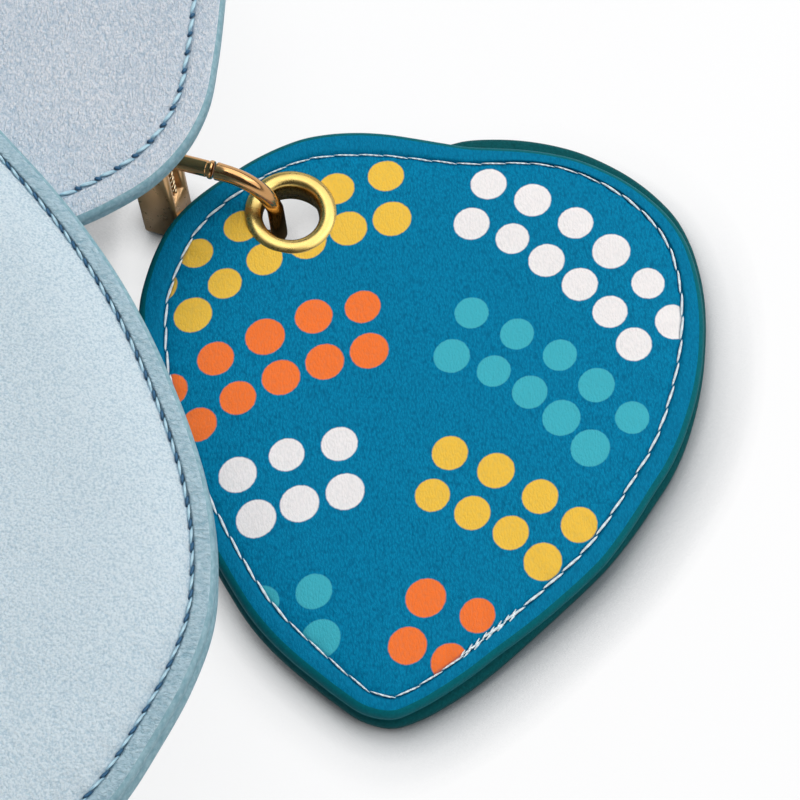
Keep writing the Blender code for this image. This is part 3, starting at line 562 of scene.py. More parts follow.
def end_faces(rows, count):
    """The faces that close a tube's first and last ring."""
    return [tuple(range(count))[::-1], tuple(range((rows - 1) * count, rows * count))]


def fan_faces(first, count, point):
    """The triangles between a ring of points and one point in its middle."""
    return [(first + k, first + (k + 1) % count, point) for k in range(count)]


def flipped(faces):
    return [face[::-1] for face in faces]


def applied(piece):
    """Replaces a piece's mesh by what its modifiers make of it."""
    graph = bpy.context.evaluated_depsgraph_get()
    made = bpy.data.meshes.new_from_object(piece.evaluated_get(graph))
    piece.modifiers.clear()
    piece.data = made
    return piece


def bevelled(piece, width, segments=3, angle=30):
    """Rounds the sharp edges of a piece."""
    step = piece.modifiers.new("bevel", "BEVEL")
    step.width = width
    step.segments = segments
    step.angle_limit = math.radians(angle)
    step.harden_normals = True
    return applied(piece)


def crisp(piece, angle=50):
    """Shades a piece smoothly, but for the edges that turn by more than an angle."""
    piece.data.shade_smooth()
    piece.data.set_sharp_from_angle(angle=math.radians(angle))


def cut(piece, tool):
    """Cuts a tool's shape out of a piece."""
    step = piece.modifiers.new("cut", "BOOLEAN")
    step.operation = "DIFFERENCE"
    step.solver = "EXACT"
    step.object = tool
    applied(piece)
    bpy.data.objects.remove(tool, do_unlink=True)
    return piece


def lengths_along(line):
    """How far along a line of points each of them is."""
    return np.concatenate([[0], np.cumsum(np.linalg.norm(np.diff(line, axis=0), axis=1))])


def at_length(line, lengths, wanted):
    """The points of a line at the wanted lengths along it."""
    return np.stack([np.interp(wanted, lengths, column) for column in line.T], -1)


def smooth_line(points, closed):
    """A smooth line through a few points, in 16 steps from each to the next."""
    points = np.asarray(points, float)
    if closed:
        knots = np.vstack([points[-1:], points, points[:2]])
    else:
        knots = np.vstack([2 * points[0] - points[1], points, 2 * points[-1] - points[-2]])
    before, here, after, beyond = knots[:-3], knots[1:-2], knots[2:-1], knots[3:]
    fine = []
    for t in np.arange(16) / 16:
        fine.append(
            here
            + (after - before) * t / 2
            + (2 * before - 5 * here + 4 * after - beyond) * t * t / 2
            + (3 * here - before - 3 * after + beyond) * t**3 / 2
        )
    fine = np.stack(fine, 1).reshape(-1, points.shape[1])
    return np.vstack([fine, knots[-2]])


def smooth_loop(points, count):
    """Evenly spaced points on a smooth closed line through an outline's points."""
    fine = smooth_line(points, True)
    lengths = lengths_along(fine)
    wanted = np.linspace(0, lengths[-1], count, endpoint=False)
    return at_length(fine, lengths, wanted), lengths[-1]


def smooth_path(points, step):
    """Evenly spaced points on a smooth open line through a few points."""
    fine = smooth_line(points, False)
    lengths = lengths_along(fine)
    wanted = np.linspace(0, lengths[-1], round(lengths[-1] / step) + 1)
    return at_length(fine, lengths, wanted)


def arc(radius, first, last, count, middle=(0.0, 0.0)):
    """Points on a circle, evenly spaced from one angle to another, both in quarter turns."""
    angles = np.linspace(first, last, count) * math.pi / 2
    return [(middle[0] + radius * math.cos(a), middle[1] + radius * math.sin(a)) for a in angles]


def rounded_outline(low, high, corner, steps=6):
    """A rectangle with round corners, counterclockwise."""
    points = []
    for quarter in range(4):
        x = (high[0] - corner) if quarter in (0, 3) else (low[0] + corner)
        y = (high[1] - corner) if quarter in (0, 1) else (low[1] + corner)
        points += arc(corner, quarter, quarter + 1, steps + 1, (x, y))
    return np.array(points)


def dense(points, step):
    """The same closed outline, with points no further apart than a step."""
    found = []
    for a, b in zip(points, np.roll(points, -1, 0)):
        many = max(1, math.ceil(np.linalg.norm(b - a) / step))
        found += [a + (b - a) * k / many for k in range(many)]
    return np.array(found)


def node_outline(node, into=None, clear_of=None):
    """The outline of a CAD pad, from the ring of points where its lower rim ends."""
    points = np.array([v.co for v in frame["nodes"][node].data.vertices])
    if into is not None:
        turn = np.array(into.inverted())
        points = points @ turn[:3, :3].T + turn[:3, 3]
    low = points[:, 2].min()
    ring = points[np.abs(points[:, 2] - low - RIM) < 2e-5][:, :2]
    if clear_of is not None:
        ring = ring[np.linalg.norm(ring, axis=1) > clear_of]
    ring = np.unique(np.round(ring, 6), axis=0)
    centre = ring.mean(0)
    order = np.argsort(np.arctan2(ring[:, 1] - centre[1], ring[:, 0] - centre[0]))
    return ring[order], low, points[:, 2].max()


def inset(loop, distance):
    """A counterclockwise loop, drawn in by a distance, or by one for each point."""
    along = np.roll(loop, -1, 0) - np.roll(loop, 1, 0)
    along /= np.linalg.norm(along, axis=1)[:, None]
    distance = np.broadcast_to(distance, len(loop))[:, None]
    return loop + np.stack([-along[:, 1], along[:, 0]], 1) * distance


def border_width(loop, middle, widths):
    """The border's width at each point of a loop, from a few widths by direction."""
    away = loop - np.asarray(middle)
    turn = np.degrees(np.arctan2(away[:, 1], away[:, 0]))
    at, wide = np.array(widths).T
    found = np.interp(turn, at, wide, period=360)
    kernel = np.hanning(31) / np.hanning(31).sum()
    return np.convolve(np.concatenate([found[-15:], found, found[:15]]), kernel, "valid")


def drawn_in(loop, centre, distance):
    """A loop moved towards its centre, which can't fold where the loop turns sharply."""
    away = loop - centre
    reach = np.linalg.norm(away, axis=1)[:, None]
    return centre + away * (1 - np.minimum(distance / reach, 0.9))


def waves(points, size, seed):
    """Smooth noise from -1 to 1 at each point, for lumps of this size."""
    return np.array([noise.noise(Vector((p[0] / size, p[1] / size, seed))) for p in points])


def leather_pad(name, outline, low, high, looks, crown=0.0, seam=PLAIN_SEAM, seed=1.0, matrix=None,
                sewn=True, pitch=WING_STITCH, side_steps=2):
    """A turned-edge leather pad: round rim, flat border, sunk seam and a face that puffs up.

    looks holds the materials of the face, the border and the side. The loop along the seam and the
    height there are returned too, for the thread.
    """
    around = PAD_AROUND
    loop, length = smooth_loop(outline, around)
    if callable(seam):
        seam = seam(loop)
    stitches = round(length / pitch)
    phase = np.arange(around) / around * stitches * 2 * math.pi
    pull = (1 + np.cos(phase)) / 2 if sewn else np.zeros(around)
    depth = SEAM_DEPTH if sewn else 0.0
    rings = []

    def ring(distance, height, band):
        rings.append((inset(loop, distance), np.broadcast_to(height, around), band, distance))

    ring(seam + 2.5e-3, low, 2)
    ring(seam, low, 2)
    for angle in np.linspace(0, math.pi / 2, 5):
        ring(RIM * (1 - math.sin(angle)), low + RIM * (1 - math.cos(angle)), 2)
    ring(PAD_SLACK, (low + RIM + high - RIM_TOP) / 2, 2)
    for step, angle in enumerate(np.linspace(0, math.pi / 2, 6)):
        height = high - RIM_TOP * (1 - math.sin(angle))
        ring(RIM_TOP * (1 - math.cos(angle)), height, 2 if step < side_steps else 1)
    for share in (0.2, 0.4, 0.6, 0.8):
        distance = RIM_TOP + (seam - RIM_TOP) * share
        lump = PAD_LUMP * waves(inset(loop, distance), 0.0016, seed)
        ring(distance, high + 0.0001 * math.sin(math.pi * share) + lump, 1)
    ring(seam - 0.00035, high - 0.3 * depth - 0.3 * depth * pull, 1)
    ring(seam, high - depth * (0.75 + 0.5 * pull), 1)
    ring(seam + SEAM_HALF, high - depth * (0.15 + 0.6 * pull), 0)
    last = rings[-1][0]
    centre = last.mean(0)

    def crown_at(further):
        share = np.clip(further / CROWN_RUN, 0, 1)
        return crown * (1 - (1 - share) ** 2.4)

    for further, ease in PUCKERS:
        flat = drawn_in(last, centre, further - SEAM_HALF)
        lump = PAD_LUMP * waves(flat, 0.006, seed + 5) * (1 - ease)
        dip = depth * 0.55 * ease * pull
        rings.append((flat, high + crown_at(further) - dip + lump, 0, seam + further))
    last, heights = rings[-1][:2]
    far = PUCKERS[-1][0]
    reach = np.linalg.norm(last - centre, axis=1)
    for share in np.linspace(0, 1, 16)[1:-1]:
        flat = centre + (last - centre) * (1 - share)
        lump = 0.00022 * waves(flat, 0.011, seed + 9) + 0.00008 * waves(flat, 0.004, seed + 2)
        grown = high + crown_at(far + reach * share) + lump * min(1, 6 * share) * (1 if crown else 0.3)
        grown = grown + (heights - high - crown_at(far)) * max(0, 1 - 4 * share)
        rings.append((flat, grown, 0, seam + far + 0.02 * share))

    middles = [(*centre, rings[-1][1].mean()), (*rings[0][0].mean(0), low)]
    vertices = np.vstack([np.column_stack(shape[:2]) for shape in rings] + [middles])
    beyond = np.concatenate([np.broadcast_to(shape[3] - seam, around) for shape in rings])
    beyond = np.append(beyond, [0.03, -0.003])
    top = len(rings) * around
    faces = tube_faces(len(rings), around) + fan_faces(top - around, around, top)
    faces += flipped(fan_faces(0, around, top + 1))
    bands = [band for band in [shape[2] for shape in rings[1:]] + [0, 2] for _ in range(around)]
    piece = mesh_object(name, vertices, faces, looks, bands, matrix)
    near = np.clip(1 - np.abs(beyond) / 0.001, 0, 1) if sewn else np.zeros(len(beyond))
    carry(piece, "seam", np.column_stack([near, 10 * beyond]))
    seam_loop, _ = smooth_loop(inset(loop, seam), 8 * stitches)
    return piece, np.column_stack([seam_loop, np.full(len(seam_loop), high - 0.5 * depth)])


def stitch_run(name, body, line, up, look, pitch=PLAIN_STITCH, share=0.86, closed=True, matrix=None,
               radius=THREAD, slant=0.10, sunk=2.6, weight=None, shift=0.5):
    """A row of stitches along a line of points, each a short thread that dips in at both ends.

    share is how much of the pitch a stitch covers, shift moves the row along its line by a share of
    the pitch, and weight makes the thread thinner or thicker by where it is.
    """
    line = np.asarray(line, float)
    if closed:
        line = np.vstack([line, line[:1]])
    up = np.broadcast_to(np.asarray(up, float), line.shape)
    lengths = lengths_along(line)
    total = lengths[-1]
    count = max(1, round(total / pitch))
    half = share * total / count / 2
    rows, sides = len(STITCH_SHAPE), 10
    one = tube_faces(rows, sides) + end_faces(rows, sides)
    vertices = []
    faces = []
    marks = []
    for number in range(count):
        middle = (number + shift) * total / count
        faces += [tuple(len(vertices) + k for k in face) for face in one]
        first = at_length(line, lengths, np.clip(middle - half, 0, total))
        last = at_length(line, lengths, np.clip(middle + half, 0, total))
        along = (last - first) / np.linalg.norm(last - first)
        mass = radius * (weight(at_length(line, lengths, middle)) if weight else 1.0)
        for u, thick in STITCH_SHAPE:
            at = np.clip(middle + u * half, 0, total)
            straight = (first + last) / 2 + (last - first) * u / 2
            place = 0.6 * straight + 0.4 * at_length(line, lengths, at)
            side = np.cross(along, at_length(up, lengths, at))
            side /= np.linalg.norm(side)
            high = np.cross(side, along)
            lift = mass * (0.9 - sunk * abs(u) ** 5)
            centre = place + high * lift + side * slant * u * mass * 3
            for k in range(sides):
                angle = 2 * math.pi * k / sides
                out = side * math.cos(angle) + high * math.sin(angle)
                vertices.append(centre + out * mass * thick)
                marks.append((abs(u), k / sides + u * half / (7 * mass)))
    piece = mesh_object(name, vertices, faces, look, matrix=matrix)
    carry(piece, "run", marks)
    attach(piece, body)


def sweep(name, path, radius, look, closed=False, sides=24, matrix=None):
    """A round wire along a line of points. radius is one number, or one for each point."""
    path = np.array([(*point, 0.0)[:3] for point in path])
    many = len(path)
    radii = np.broadcast_to(radius, many)
    if closed:
        along = np.roll(path, -1, 0) - np.roll(path, 1, 0)
    else:
        along = np.vstack([path[1:], path[-1:]]) - np.vstack([path[:1], path[:-1]])
    along /= np.linalg.norm(along, axis=1)[:, None]
    side = Vector(along[0]).orthogonal().normalized()
    vertices = []
    for i in range(many):
        now = Vector(along[i])
        if i:
            side.rotate(Vector(along[i - 1]).rotation_difference(now))
        side = (side - now * side.dot(now)).normalized()
        other = now.cross(side)
        for k in range(sides):
            angle = 2 * math.pi * k / sides
            out = side * math.cos(angle) + other * math.sin(angle)
            vertices.append(Vector(path[i]) + out * radii[i])
    faces = tube_faces(many, sides)
    if closed:
        last = (many - 1) * sides
        shift = min(range(sides), key=lambda k: (vertices[last + k] - vertices[0]).length)
        for k in range(sides):
            a, b = last + (k + shift) % sides, last + (k + 1 + shift) % sides
            faces.append((a, b, (k + 1) % sides, k))
    else:
        faces += end_faces(many, sides)
    return mesh_object(name, vertices, faces, look, matrix=matrix)


def lathe(name, profile, look, matrix=None, sides=72, closed=False):
    """A round piece on the Z axis, from radius and height pairs."""
    vertices = []
    for radius, height in profile:
        for k in range(sides):
            angle = 2 * math.pi * k / sides
            vertices.append((radius * math.cos(angle), radius * math.sin(angle), height))
    faces = tube_faces(len(profile), sides, closed)
    if not closed:
        faces += end_faces(len(profile), sides)
    piece = mesh_object(name, vertices, faces, look, matrix=matrix)
    piece.data.set_sharp_from_angle(angle=math.radians(40))
    return piece


def prism(name, profile, half, look, matrix):
    """A profile of Y and Z pairs, drawn out to both sides along X."""
    count = len(profile)
    points = [(x, y, z) for x in (-half, half) for y, z in profile]
    faces = tube_faces(2, count) + end_faces(2, count)
    return mesh_object(name, points, faces, look, matrix=matrix, smooth=False)


def box_piece(name, low, high, look, matrix=None):
    """A plain box, to be cut or rounded."""
    corners = [(x, y, z) for z in (low[2], high[2]) for x, y in (
        (low[0], low[1]), (high[0], low[1]), (high[0], high[1]), (low[0], high[1]))]
    faces = [(3, 2, 1, 0), (4, 5, 6, 7), (0, 1, 5, 4), (1, 2, 6, 5), (2, 3, 7, 6), (3, 0, 4, 7)]
    return mesh_object(name, corners, faces, look, matrix=matrix, smooth=False)


def joint(name):
    return next(found for found in frame["joints"] if found["name"] == name)


def clasp_axes():
    """The clasp's own axes: the swivel's axis is X and the gate's axis is Y."""
    swivel = joint("clasp_swivel")
    x = -Vector(swivel["axis"]).normalized()
    y = Vector(joint("clasp_gate_open")["axis"]).normalized()
    turn = Matrix((x, y, x.cross(y))).transposed().to_4x4()
    return Matrix.Translation(swivel["pos_m"]) @ turn


def charm_axes():
    """The charm's own axes: Z along its eyelet, and the origin in the eyelet on the charm's back."""
    points = np.unique(
        np.round([v.co for v in frame["nodes"]["charm_eyelet_washer"].data.vertices], 6), axis=0
    )
    centre = points.mean(0)
    normal = Vector(np.linalg.svd(points - centre)[2][2])
    normal = normal if normal.z > 0 else -normal
    turn = Vector((0, 0, 1)).rotation_difference(normal).to_matrix().to_4x4()
    return Matrix.Translation(Vector(centre) - normal * (WASHER_THICK / 2)) @ turn


def settle(piece, body, slot=None, *nodes):
    """Lets a piece ride on a body and hides the nodes that it stands for; slot is not used."""
    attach(piece, body)
    if nodes:
        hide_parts(*nodes)


def make_looks():
    """Every material of the scene."""
    return {
        "face": leather(
            "pale_leather_face", "D6E4EC", "A6C2D2", 0.00036, 0.00013, 0.5, crease_shade=0.45,
            groove_shade="6C9DB8", fleck=0.42,
        ),
        "border": leather(
            "pale_leather_border", "BCD4DF", "8FB2C2", 0.00050, 0.00022, 0.5, (0.7, 1.2, 1.0),
            groove_shade="35698A", wrinkle=0.25, fleck=0.15,
        ),
        "lavender": leather(
            "lavender_leather_face", "F0F4FB", "A4C0D6", 0.00040, 0.00026, 0.5, (1.3, 0.75, 1.0), 0.8,
            "6FA3C0", 0.30, fleck=0.12,
        ),
        "side": leather("leather_side", "9ABCC7", "7AA2AF", 0.00060, 0.00008, 0.5),
        "strap": leather("strap_leather", "B9D0E0", "93B2C5", 0.00055, 0.00018, 0.5, wrinkle=0.15),
        "print": charm_print("charm_print"),
        "charm_border": leather(
            "charm_border", "0380AA", "01668C", 0.00024, 0.00008, 0.5, (1.0, 0.5, 1.0), 0.75, "014F74",
            specular=0.04,
        ),
        "charm_side": leather(
            "charm_side", "066A74", "04565E", 0.00028, 0.00003, 0.42, crease_shade=0.5, specular=0.05
        ),
        "charm_back": leather(
            "charm_back", "07565B", "044448", 0.00036, 0.00008, 0.45, crease_shade=0.6, specular=0.05
        ),
        "blue_thread": thread("blue_thread", "BFE2F0", "6FAFD0", 0.6),
        "navy_thread": thread("navy_thread", "2E6388", "173E5C", 0.4),
        "white_thread": thread("white_thread", "F0FAFD", "A6D4E4", 0.82),
        "gold": metal("yellow_gold", "D4BA72", "B8924C", 0.24),
        "rosy": metal("rosy_gold", "D3A36E", "A87B4C", 0.12),
        "rosy_satin": metal("rosy_gold_satin", "E6BB88", "C0925E", 0.26, 0.58),
        "steel": metal("spring_steel", "E9D2AE", "B08D5C", 0.16),
        "tape": woven("zip_tape_weave", "8FB0C8", "6C8FA8", 0.0005),
        "cloth": woven("lining_weave", "C8D2DC", "A9B6C4", 0.0004),
    }


def make_wings(looks):
    """The padded wings of the front."""
    pale = (looks["face"], looks["border"], looks["side"])
    plain_pale = (looks["border"], looks["border"], looks["side"])
    lavender = (looks["lavender"], looks["lavender"], looks["side"])
    for side in ("right", "left"):
        for kind, crown, seam, slot, colours in (
            ("lower_wing_front", LOWER_CROWN, LOWER_SEAM, "pale_leather", pale),
            ("lower_wing_back", 0.0, LOWER_SEAM, "pale_leather", plain_pale),
            ("upper_wing", 0.0, UPPER_SEAM, "lavender_leather", lavender),
        ):
            node = f"{kind}_{side}"
            sewn = kind != "lower_wing_back"
            outline, low, high = node_outline(node)
            piece, line = leather_pad(
                f"{node}_leather", outline, low, high - crown, colours, crown, seam,
                seed=3.0 + len(kind) + (side == "left"), sewn=sewn, side_steps=4,
            )
            settle(piece, "bag", slot, node)
            if sewn:
                thin, thick, share = (0.00017, 0.00019, 0.48) if crown else (0.00024, 0.00026, 0.30)
                stitch_run(
                    f"{node}_stitches", "bag", line, (0, 0, 1), looks["blue_thread"], WING_STITCH,
                    0.84, radius=thin, slant=0.3, sunk=1.6,
                )
                # Dark thread pieces between the light stitches: painted shade that stands for the
                # stitch holes.
                stitch_run(
                    f"{node}_stitch_hole_shade", "bag", line, (0, 0, 1), looks["navy_thread"], WING_STITCH,
                    share, radius=thick, slant=0.3, sunk=1.0, shift=0.0,
                )


def make_body(looks):
    """The padded body of the front, smoothed over its solid."""
    shape = bmesh.new()
    shape.from_mesh(frame["nodes"]["body_panel"].data)
    bmesh.ops.remove_doubles(shape, verts=shape.verts, dist=1e-6)
    mesh = bpy.data.meshes.new("body_leather")
    shape.to_mesh(mesh)
    shape.free()
    mesh.materials.clear()
    mesh.materials.append(looks["lavender"])
    piece = new_object("body_leather", mesh)
    remesh = piece.modifiers.new("remesh", "REMESH")
    remesh.mode = "VOXEL"
    remesh.voxel_size = 0.0009
    soften = piece.modifiers.new("soften", "SMOOTH")
    soften.iterations = 10
    soften.factor = 0.5
    applied(piece).data.shade_smooth()
    settle(piece, "bag", "lavender_leather", "body_panel")


def charm_weight(place):
    """How thick the charm's thread lies: thin along the top and the tip, thicker down the sides."""
    if place[1] > THREAD_TOP:
        return 0.5
    return 0.55 if place[1] < THREAD_TIP else 0.78


def make_charm(looks):
    """The charm's printed front, its dark back, their seam, and the eyelet set through both."""
    at = charm_axes()

    def border(loop):
        return border_width(loop, -np.array(EYELET_AT), CHARM_BORDER)

    def panel(node, slot, colours, **shape):
        outline, low, high = node_outline(node, at, clear_of=EYELET_ZONE)
        high -= shape.get("crown", 0.0)
        piece, line = leather_pad(
            f"{node}_leather", outline, low, high, colours, matrix=at, pitch=CHARM_STITCH,
            side_steps=5, **shape,
        )
        tool = [(EYELET_SEAT, -0.01), (EYELET_SEAT, 0.02)]
        cut(piece, lathe("eyelet_hole", tool, looks["charm_side"], at, 48))
        settle(piece, "charm", slot, node)
        return line

    teal = (looks["print"], looks["charm_border"], looks["charm_side"])
    line = panel("charm_front", "charm_teal", teal, seed=8.0, crown=CHARM_CROWN, seam=border)
    stitch_run(
        "charm_stitches", "charm", line, (0, 0, 1), looks["white_thread"], CHARM_STITCH, 1.02,
        matrix=at, slant=0.22, sunk=0.7, weight=charm_weight,
    )
    x, y, _ = line.T
    tack = line[(x > TACK_FROM) & (x < TACK_TO) & (y < TACK_BELOW)]
    for number, (aside, pitch) in enumerate(((0.00016, 0.0021), (-0.00014, 0.0013))):
        shifted = tack + np.array([0.7 * aside, -aside, 0.00006])
        stitch_run(
            f"charm_back_tack_{number}", "charm", shifted, (0, 0, 1), looks["white_thread"], pitch,
            1.0, closed=False, matrix=at, slant=-0.6, radius=0.00012, sunk=0.8,
        )
    dark = (looks["charm_back"],) * 3
    panel("charm_back", "charm_edge", dark, seed=7.0, sewn=False)
    low = CHARM_THICK + GAP
    inner = [(r / 1000, low + z / 1000) for r, z in EYELET_TOP + EYELET_FLARED]
    outer = [(r + EYELET_WALL, z) for r, z in inner[::-1] if z < low - 0.0009]
    under = [(0.0049, low - 0.0001), (0.0062, low - 0.0001)]
    eyelet = lathe("charm_eyelet_ring", inner + outer + under, looks["gold"], at, 128, closed=True)
    settle(eyelet, "charm", "yellow_gold", "charm_eyelet")
    profile = [
        (EYELET_SEAT, 0.0), (WASHER_OUTER - 0.0002, 0.0), (WASHER_OUTER, 0.0002),
        (WASHER_OUTER, WASHER_THICK), (EYELET_SEAT, WASHER_THICK),
    ]
    washer = lathe("charm_washer", profile, looks["gold"], at, 96, closed=True)
    settle(washer, "charm", "yellow_gold", "charm_eyelet_washer")


def hook_path():
    """The middle line of the clasp's wire: out of the block, round the end and back to the gate."""
    knots = [(BLOCK_LONG - HOOK_ROOT, -GATE_HIGH), (HOOK_NOSE_X - 2 * HOOK_BEND, -GATE_HIGH)]
    knots += arc(HOOK_BEND, -1, 0, 7, (HOOK_NOSE_X - HOOK_BEND, HOOK_BEND - GATE_HIGH))
    start = GATE_TIP + GAP
    for angle in np.linspace(0, math.pi / 2, 13)[1:]:
        x = start + (HOOK_NOSE_X - start) * max(math.cos(angle), 0.0) ** NOSE_ROUND
        knots.append((x, GATE_HIGH * math.sin(angle)))
    return [(x, 0.0, z) for x, z in smooth_path(knots, HOOK_STEP)]


def make_clasp(looks):
    """The snap clasp: its block, hook, gate, pin, spring, swivel eye and post."""
    at = clasp_axes()
    turn = Matrix.Rotation(math.radians(90), 4, "Y")
    half_tall = BLOCK_TALL / 2
    half_wide = BLOCK_WIDE / 2
    pocket = HOOK_WIRE + GAP
    satin, rosy, steel = looks["rosy_satin"], looks["rosy"], looks["steel"]

    block = box_piece(
        "clasp_block_metal", (0, -half_wide, -half_tall), (BLOCK_LONG, half_wide, half_tall), satin, at
    )
    low, high = (BLOCK_BACK, -pocket, BLOCK_FLOOR - half_tall), (2 * BLOCK_LONG, pocket, BLOCK_TALL)
    cut(block, box_piece("pocket", low, high, satin, at))
    bore = POST_RADIUS + 0.0001
    cut(block, lathe("bore", [(bore, -0.001), (bore, 0.0025)], satin, at @ turn, 32))
    bevelled(block, BLOCK_CHAMFER, 2)
    block.data.set_sharp_from_angle(angle=math.radians(40))
    settle(block, "clasp", "rosy_gold", "clasp_block")

    path = hook_path()
    radii = HOOK_WIRE * (1 + 0.10 * np.exp(-np.arange(len(path))[::-1] / 5.0))
    hook = sweep("clasp_hook_metal", path, radii, rosy, matrix=at, sides=32)
    bevelled(hook, 0.00025, 3, 50)
    settle(hook, "clasp", "rosy_gold", "clasp_hook")

    heel = BLOCK_BACK + POST_HEAD_THICK + 2 * GAP
    stations = [(heel, 0.80), (heel + 0.0003, 0.98), (heel + 0.0008, 1.0)]
    stations += [(GATE_TIP - back, share) for back, share in GATE_LIP]
    gate = sweep(
        "clasp_gate_metal", [(x, 0, GATE_HIGH) for x, _ in stations],
        [HOOK_WIRE * share for _, share in stations], rosy, matrix=at, sides=36,
    )
    gate.data.set_sharp_from_angle(angle=math.radians(35))
    settle(gate, "clasp_gate", "rosy_gold", "clasp_gate")

    pin_at = Matrix.Translation((GATE_PIVOT_X, 0, GATE_HIGH)) @ Matrix.Rotation(math.pi / 2, 4, "X")
    end = half_wide + 0.0001
    profile = [(0.5 * GATE_PIN, -end), (GATE_PIN, -half_wide), (GATE_PIN, half_wide),
               (0.5 * GATE_PIN, end)]
    pin = lathe("clasp_pin_metal", profile, steel, at @ pin_at, 32)
    settle(pin, "clasp", "spring_steel", "clasp_gate_pin")

    low = BLOCK_FLOOR - half_tall + SPRING_WIRE + GAP
    high = GATE_HIGH - HOOK_WIRE - SPRING_WIRE - 2 * GAP
    spring_x = heel + SPRING_RADIUS + SPRING_WIRE
    steps = SPRING_TURNS * 28
    coil = []
    for step in range(steps + 1):
        angle = 2 * math.pi * step / 28
        x = spring_x + SPRING_RADIUS * math.cos(angle)
        coil.append((x, SPRING_RADIUS * math.sin(angle), low + (high - low) * step / steps))
    spring = sweep("clasp_spring_wire", coil, SPRING_WIRE, steel, matrix=at, sides=10)
    settle(spring, "clasp", "spring_steel", "clasp_spring")

    eye_x = -(EYE_RADIUS + EYE_WIRE + EYE_CLEAR)
    ring = arc(EYE_RADIUS, 0, 4, 65, (eye_x, 0.0))[:-1]
    eye = sweep("clasp_eye_metal", ring, EYE_WIRE, rosy, closed=True, matrix=at)
    settle(eye, "clasp_eye", "rosy_gold", "clasp_eye")
    head = BLOCK_BACK + GAP
    root = eye_x + EYE_RADIUS
    profile = [
        (POST_RADIUS, root), (1.4 * POST_RADIUS, root + 0.0004), (1.5 * POST_RADIUS, -GAP - 0.0002),
        (1.3 * POST_RADIUS, -GAP), (POST_RADIUS, -GAP), (POST_RADIUS, head), (POST_HEAD, head),
        (POST_HEAD, head + 0.6 * POST_HEAD_THICK), (0.7 * POST_HEAD, head + POST_HEAD_THICK),
    ]
    post = lathe("clasp_post_metal", profile, rosy, at @ turn, 32)
    settle(post, "clasp_eye", "rosy_gold")


def make_charm_ring(looks):
    """The D-ring that carries the clasp, and its tab on the pouch's side."""
    upright = Matrix(((0, 1, 0), (0, 0, 1), (1, 0, 0))).to_4x4()
    at = Matrix.Translation(joint("charm_ring_swing")["pos_m"]) @ upright
    middle = CHARM_RING_LONG - CHARM_RING_RADIUS
    corner = middle * 0.5
    aside = CHARM_RING_RADIUS - corner
    loop = arc(CHARM_RING_RADIUS, 0, 2, 25, (0, middle))
    loop += arc(corner, 2, 3, 9, (-aside, corner)) + arc(corner, -1, 0, 9, (aside, corner))
    path, _ = smooth_loop(loop, 120)
    ring = sweep("charm_ring_metal", path, CHARM_RING_WIRE, looks["rosy"], closed=True, matrix=at)
    settle(ring, "charm_ring", "rosy_gold", "charm_ring")
    tab_piece("charm_tab", at, CHARM_RING_WIRE, looks)


def tab_piece(node, at, wire, looks):
    """A leather tab, rounded over its bar and sewn down on both sides."""
    low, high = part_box(node)
    inner = wire + GAP
    outer = inner + TAB_THICK
    foot = -wire
    top = foot + TAB_THICK
    turn = math.acos(top / outer) / (math.pi / 2)
    profile = [(foot, -TAB_FOOT), (top, -TAB_FOOT), *arc(outer, -turn, turn, 17)]
    turn = math.acos(foot / inner) / (math.pi / 2)
    profile += [(top, TAB_FOOT), (foot, TAB_FOOT), *arc(inner, turn, -turn, 17)]
    half = min(size for size in high - low if size > 0.005) / 2
    piece = prism(f"{node}_leather", profile, half, looks["strap"], at)
    bevelled(piece, FOLD_BEVEL, 2, 50)
    crisp(piece)
    settle(piece, "bag", "pale_leather", node)
    for side in (-1, 1):
        for end in (-1, 1):
            x = end * (half - TAB_SEAM_IN)
            line = [(x, top, side * z) for z in np.linspace(*TAB_SEAM, 12)]
            stitch_run(
                f"{node}_stitches_{side + 1}{end + 1}", "bag", line, (0, 1, 0),
                looks["blue_thread"], TAB_STITCH, closed=False, matrix=at,
            )


def eased(share):
    share = min(max(share, 0.0), 1.0)
    return share * share * (3 - 2 * share)


def strap_rings(far, ring_high):
    """The strap's middle line with, at each step, its width and thickness directions."""
    start = far + RIVET_IN + RIVET_HEAD + GAP
    right = [(STRAP_AT, start), (STRAP_AT, far + STRAP_LAP + GAP)] + STRAP_ROUTE
    left = [(-x, y) for x, y in right]
    path = smooth_path(left + [STRAP_MIDDLE] + right[::-1], STRAP_STEP)
    total = STRAP_STEP * (len(path) - 1)
    edge_high = STRAP_LIFT + STRAP_WIDE / 2
    straight = far + STRAP_LAP - start
    found = []
    for i, (x, y) in enumerate(path):
        before, after = path[max(i - 1, 0)], path[min(i + 1, len(path) - 1)]
        along = Vector((*(after - before), 0.0)).normalized()
        from_end = min(STRAP_STEP * i, total - STRAP_STEP * i)
        turn = eased((from_end - straight) / STRAP_TWIST_RUN)
        across = Vector((along.y, -along.x, 0.0))
        angle = math.radians(90) * turn
        wide = across * math.cos(angle) + Vector((0, 0, math.sin(angle)))
        thick = along.cross(wide).normalized()
        centre = Vector((x, y, ring_high + (edge_high - ring_high) * turn))
        found.append((centre, wide, thick))
    return found


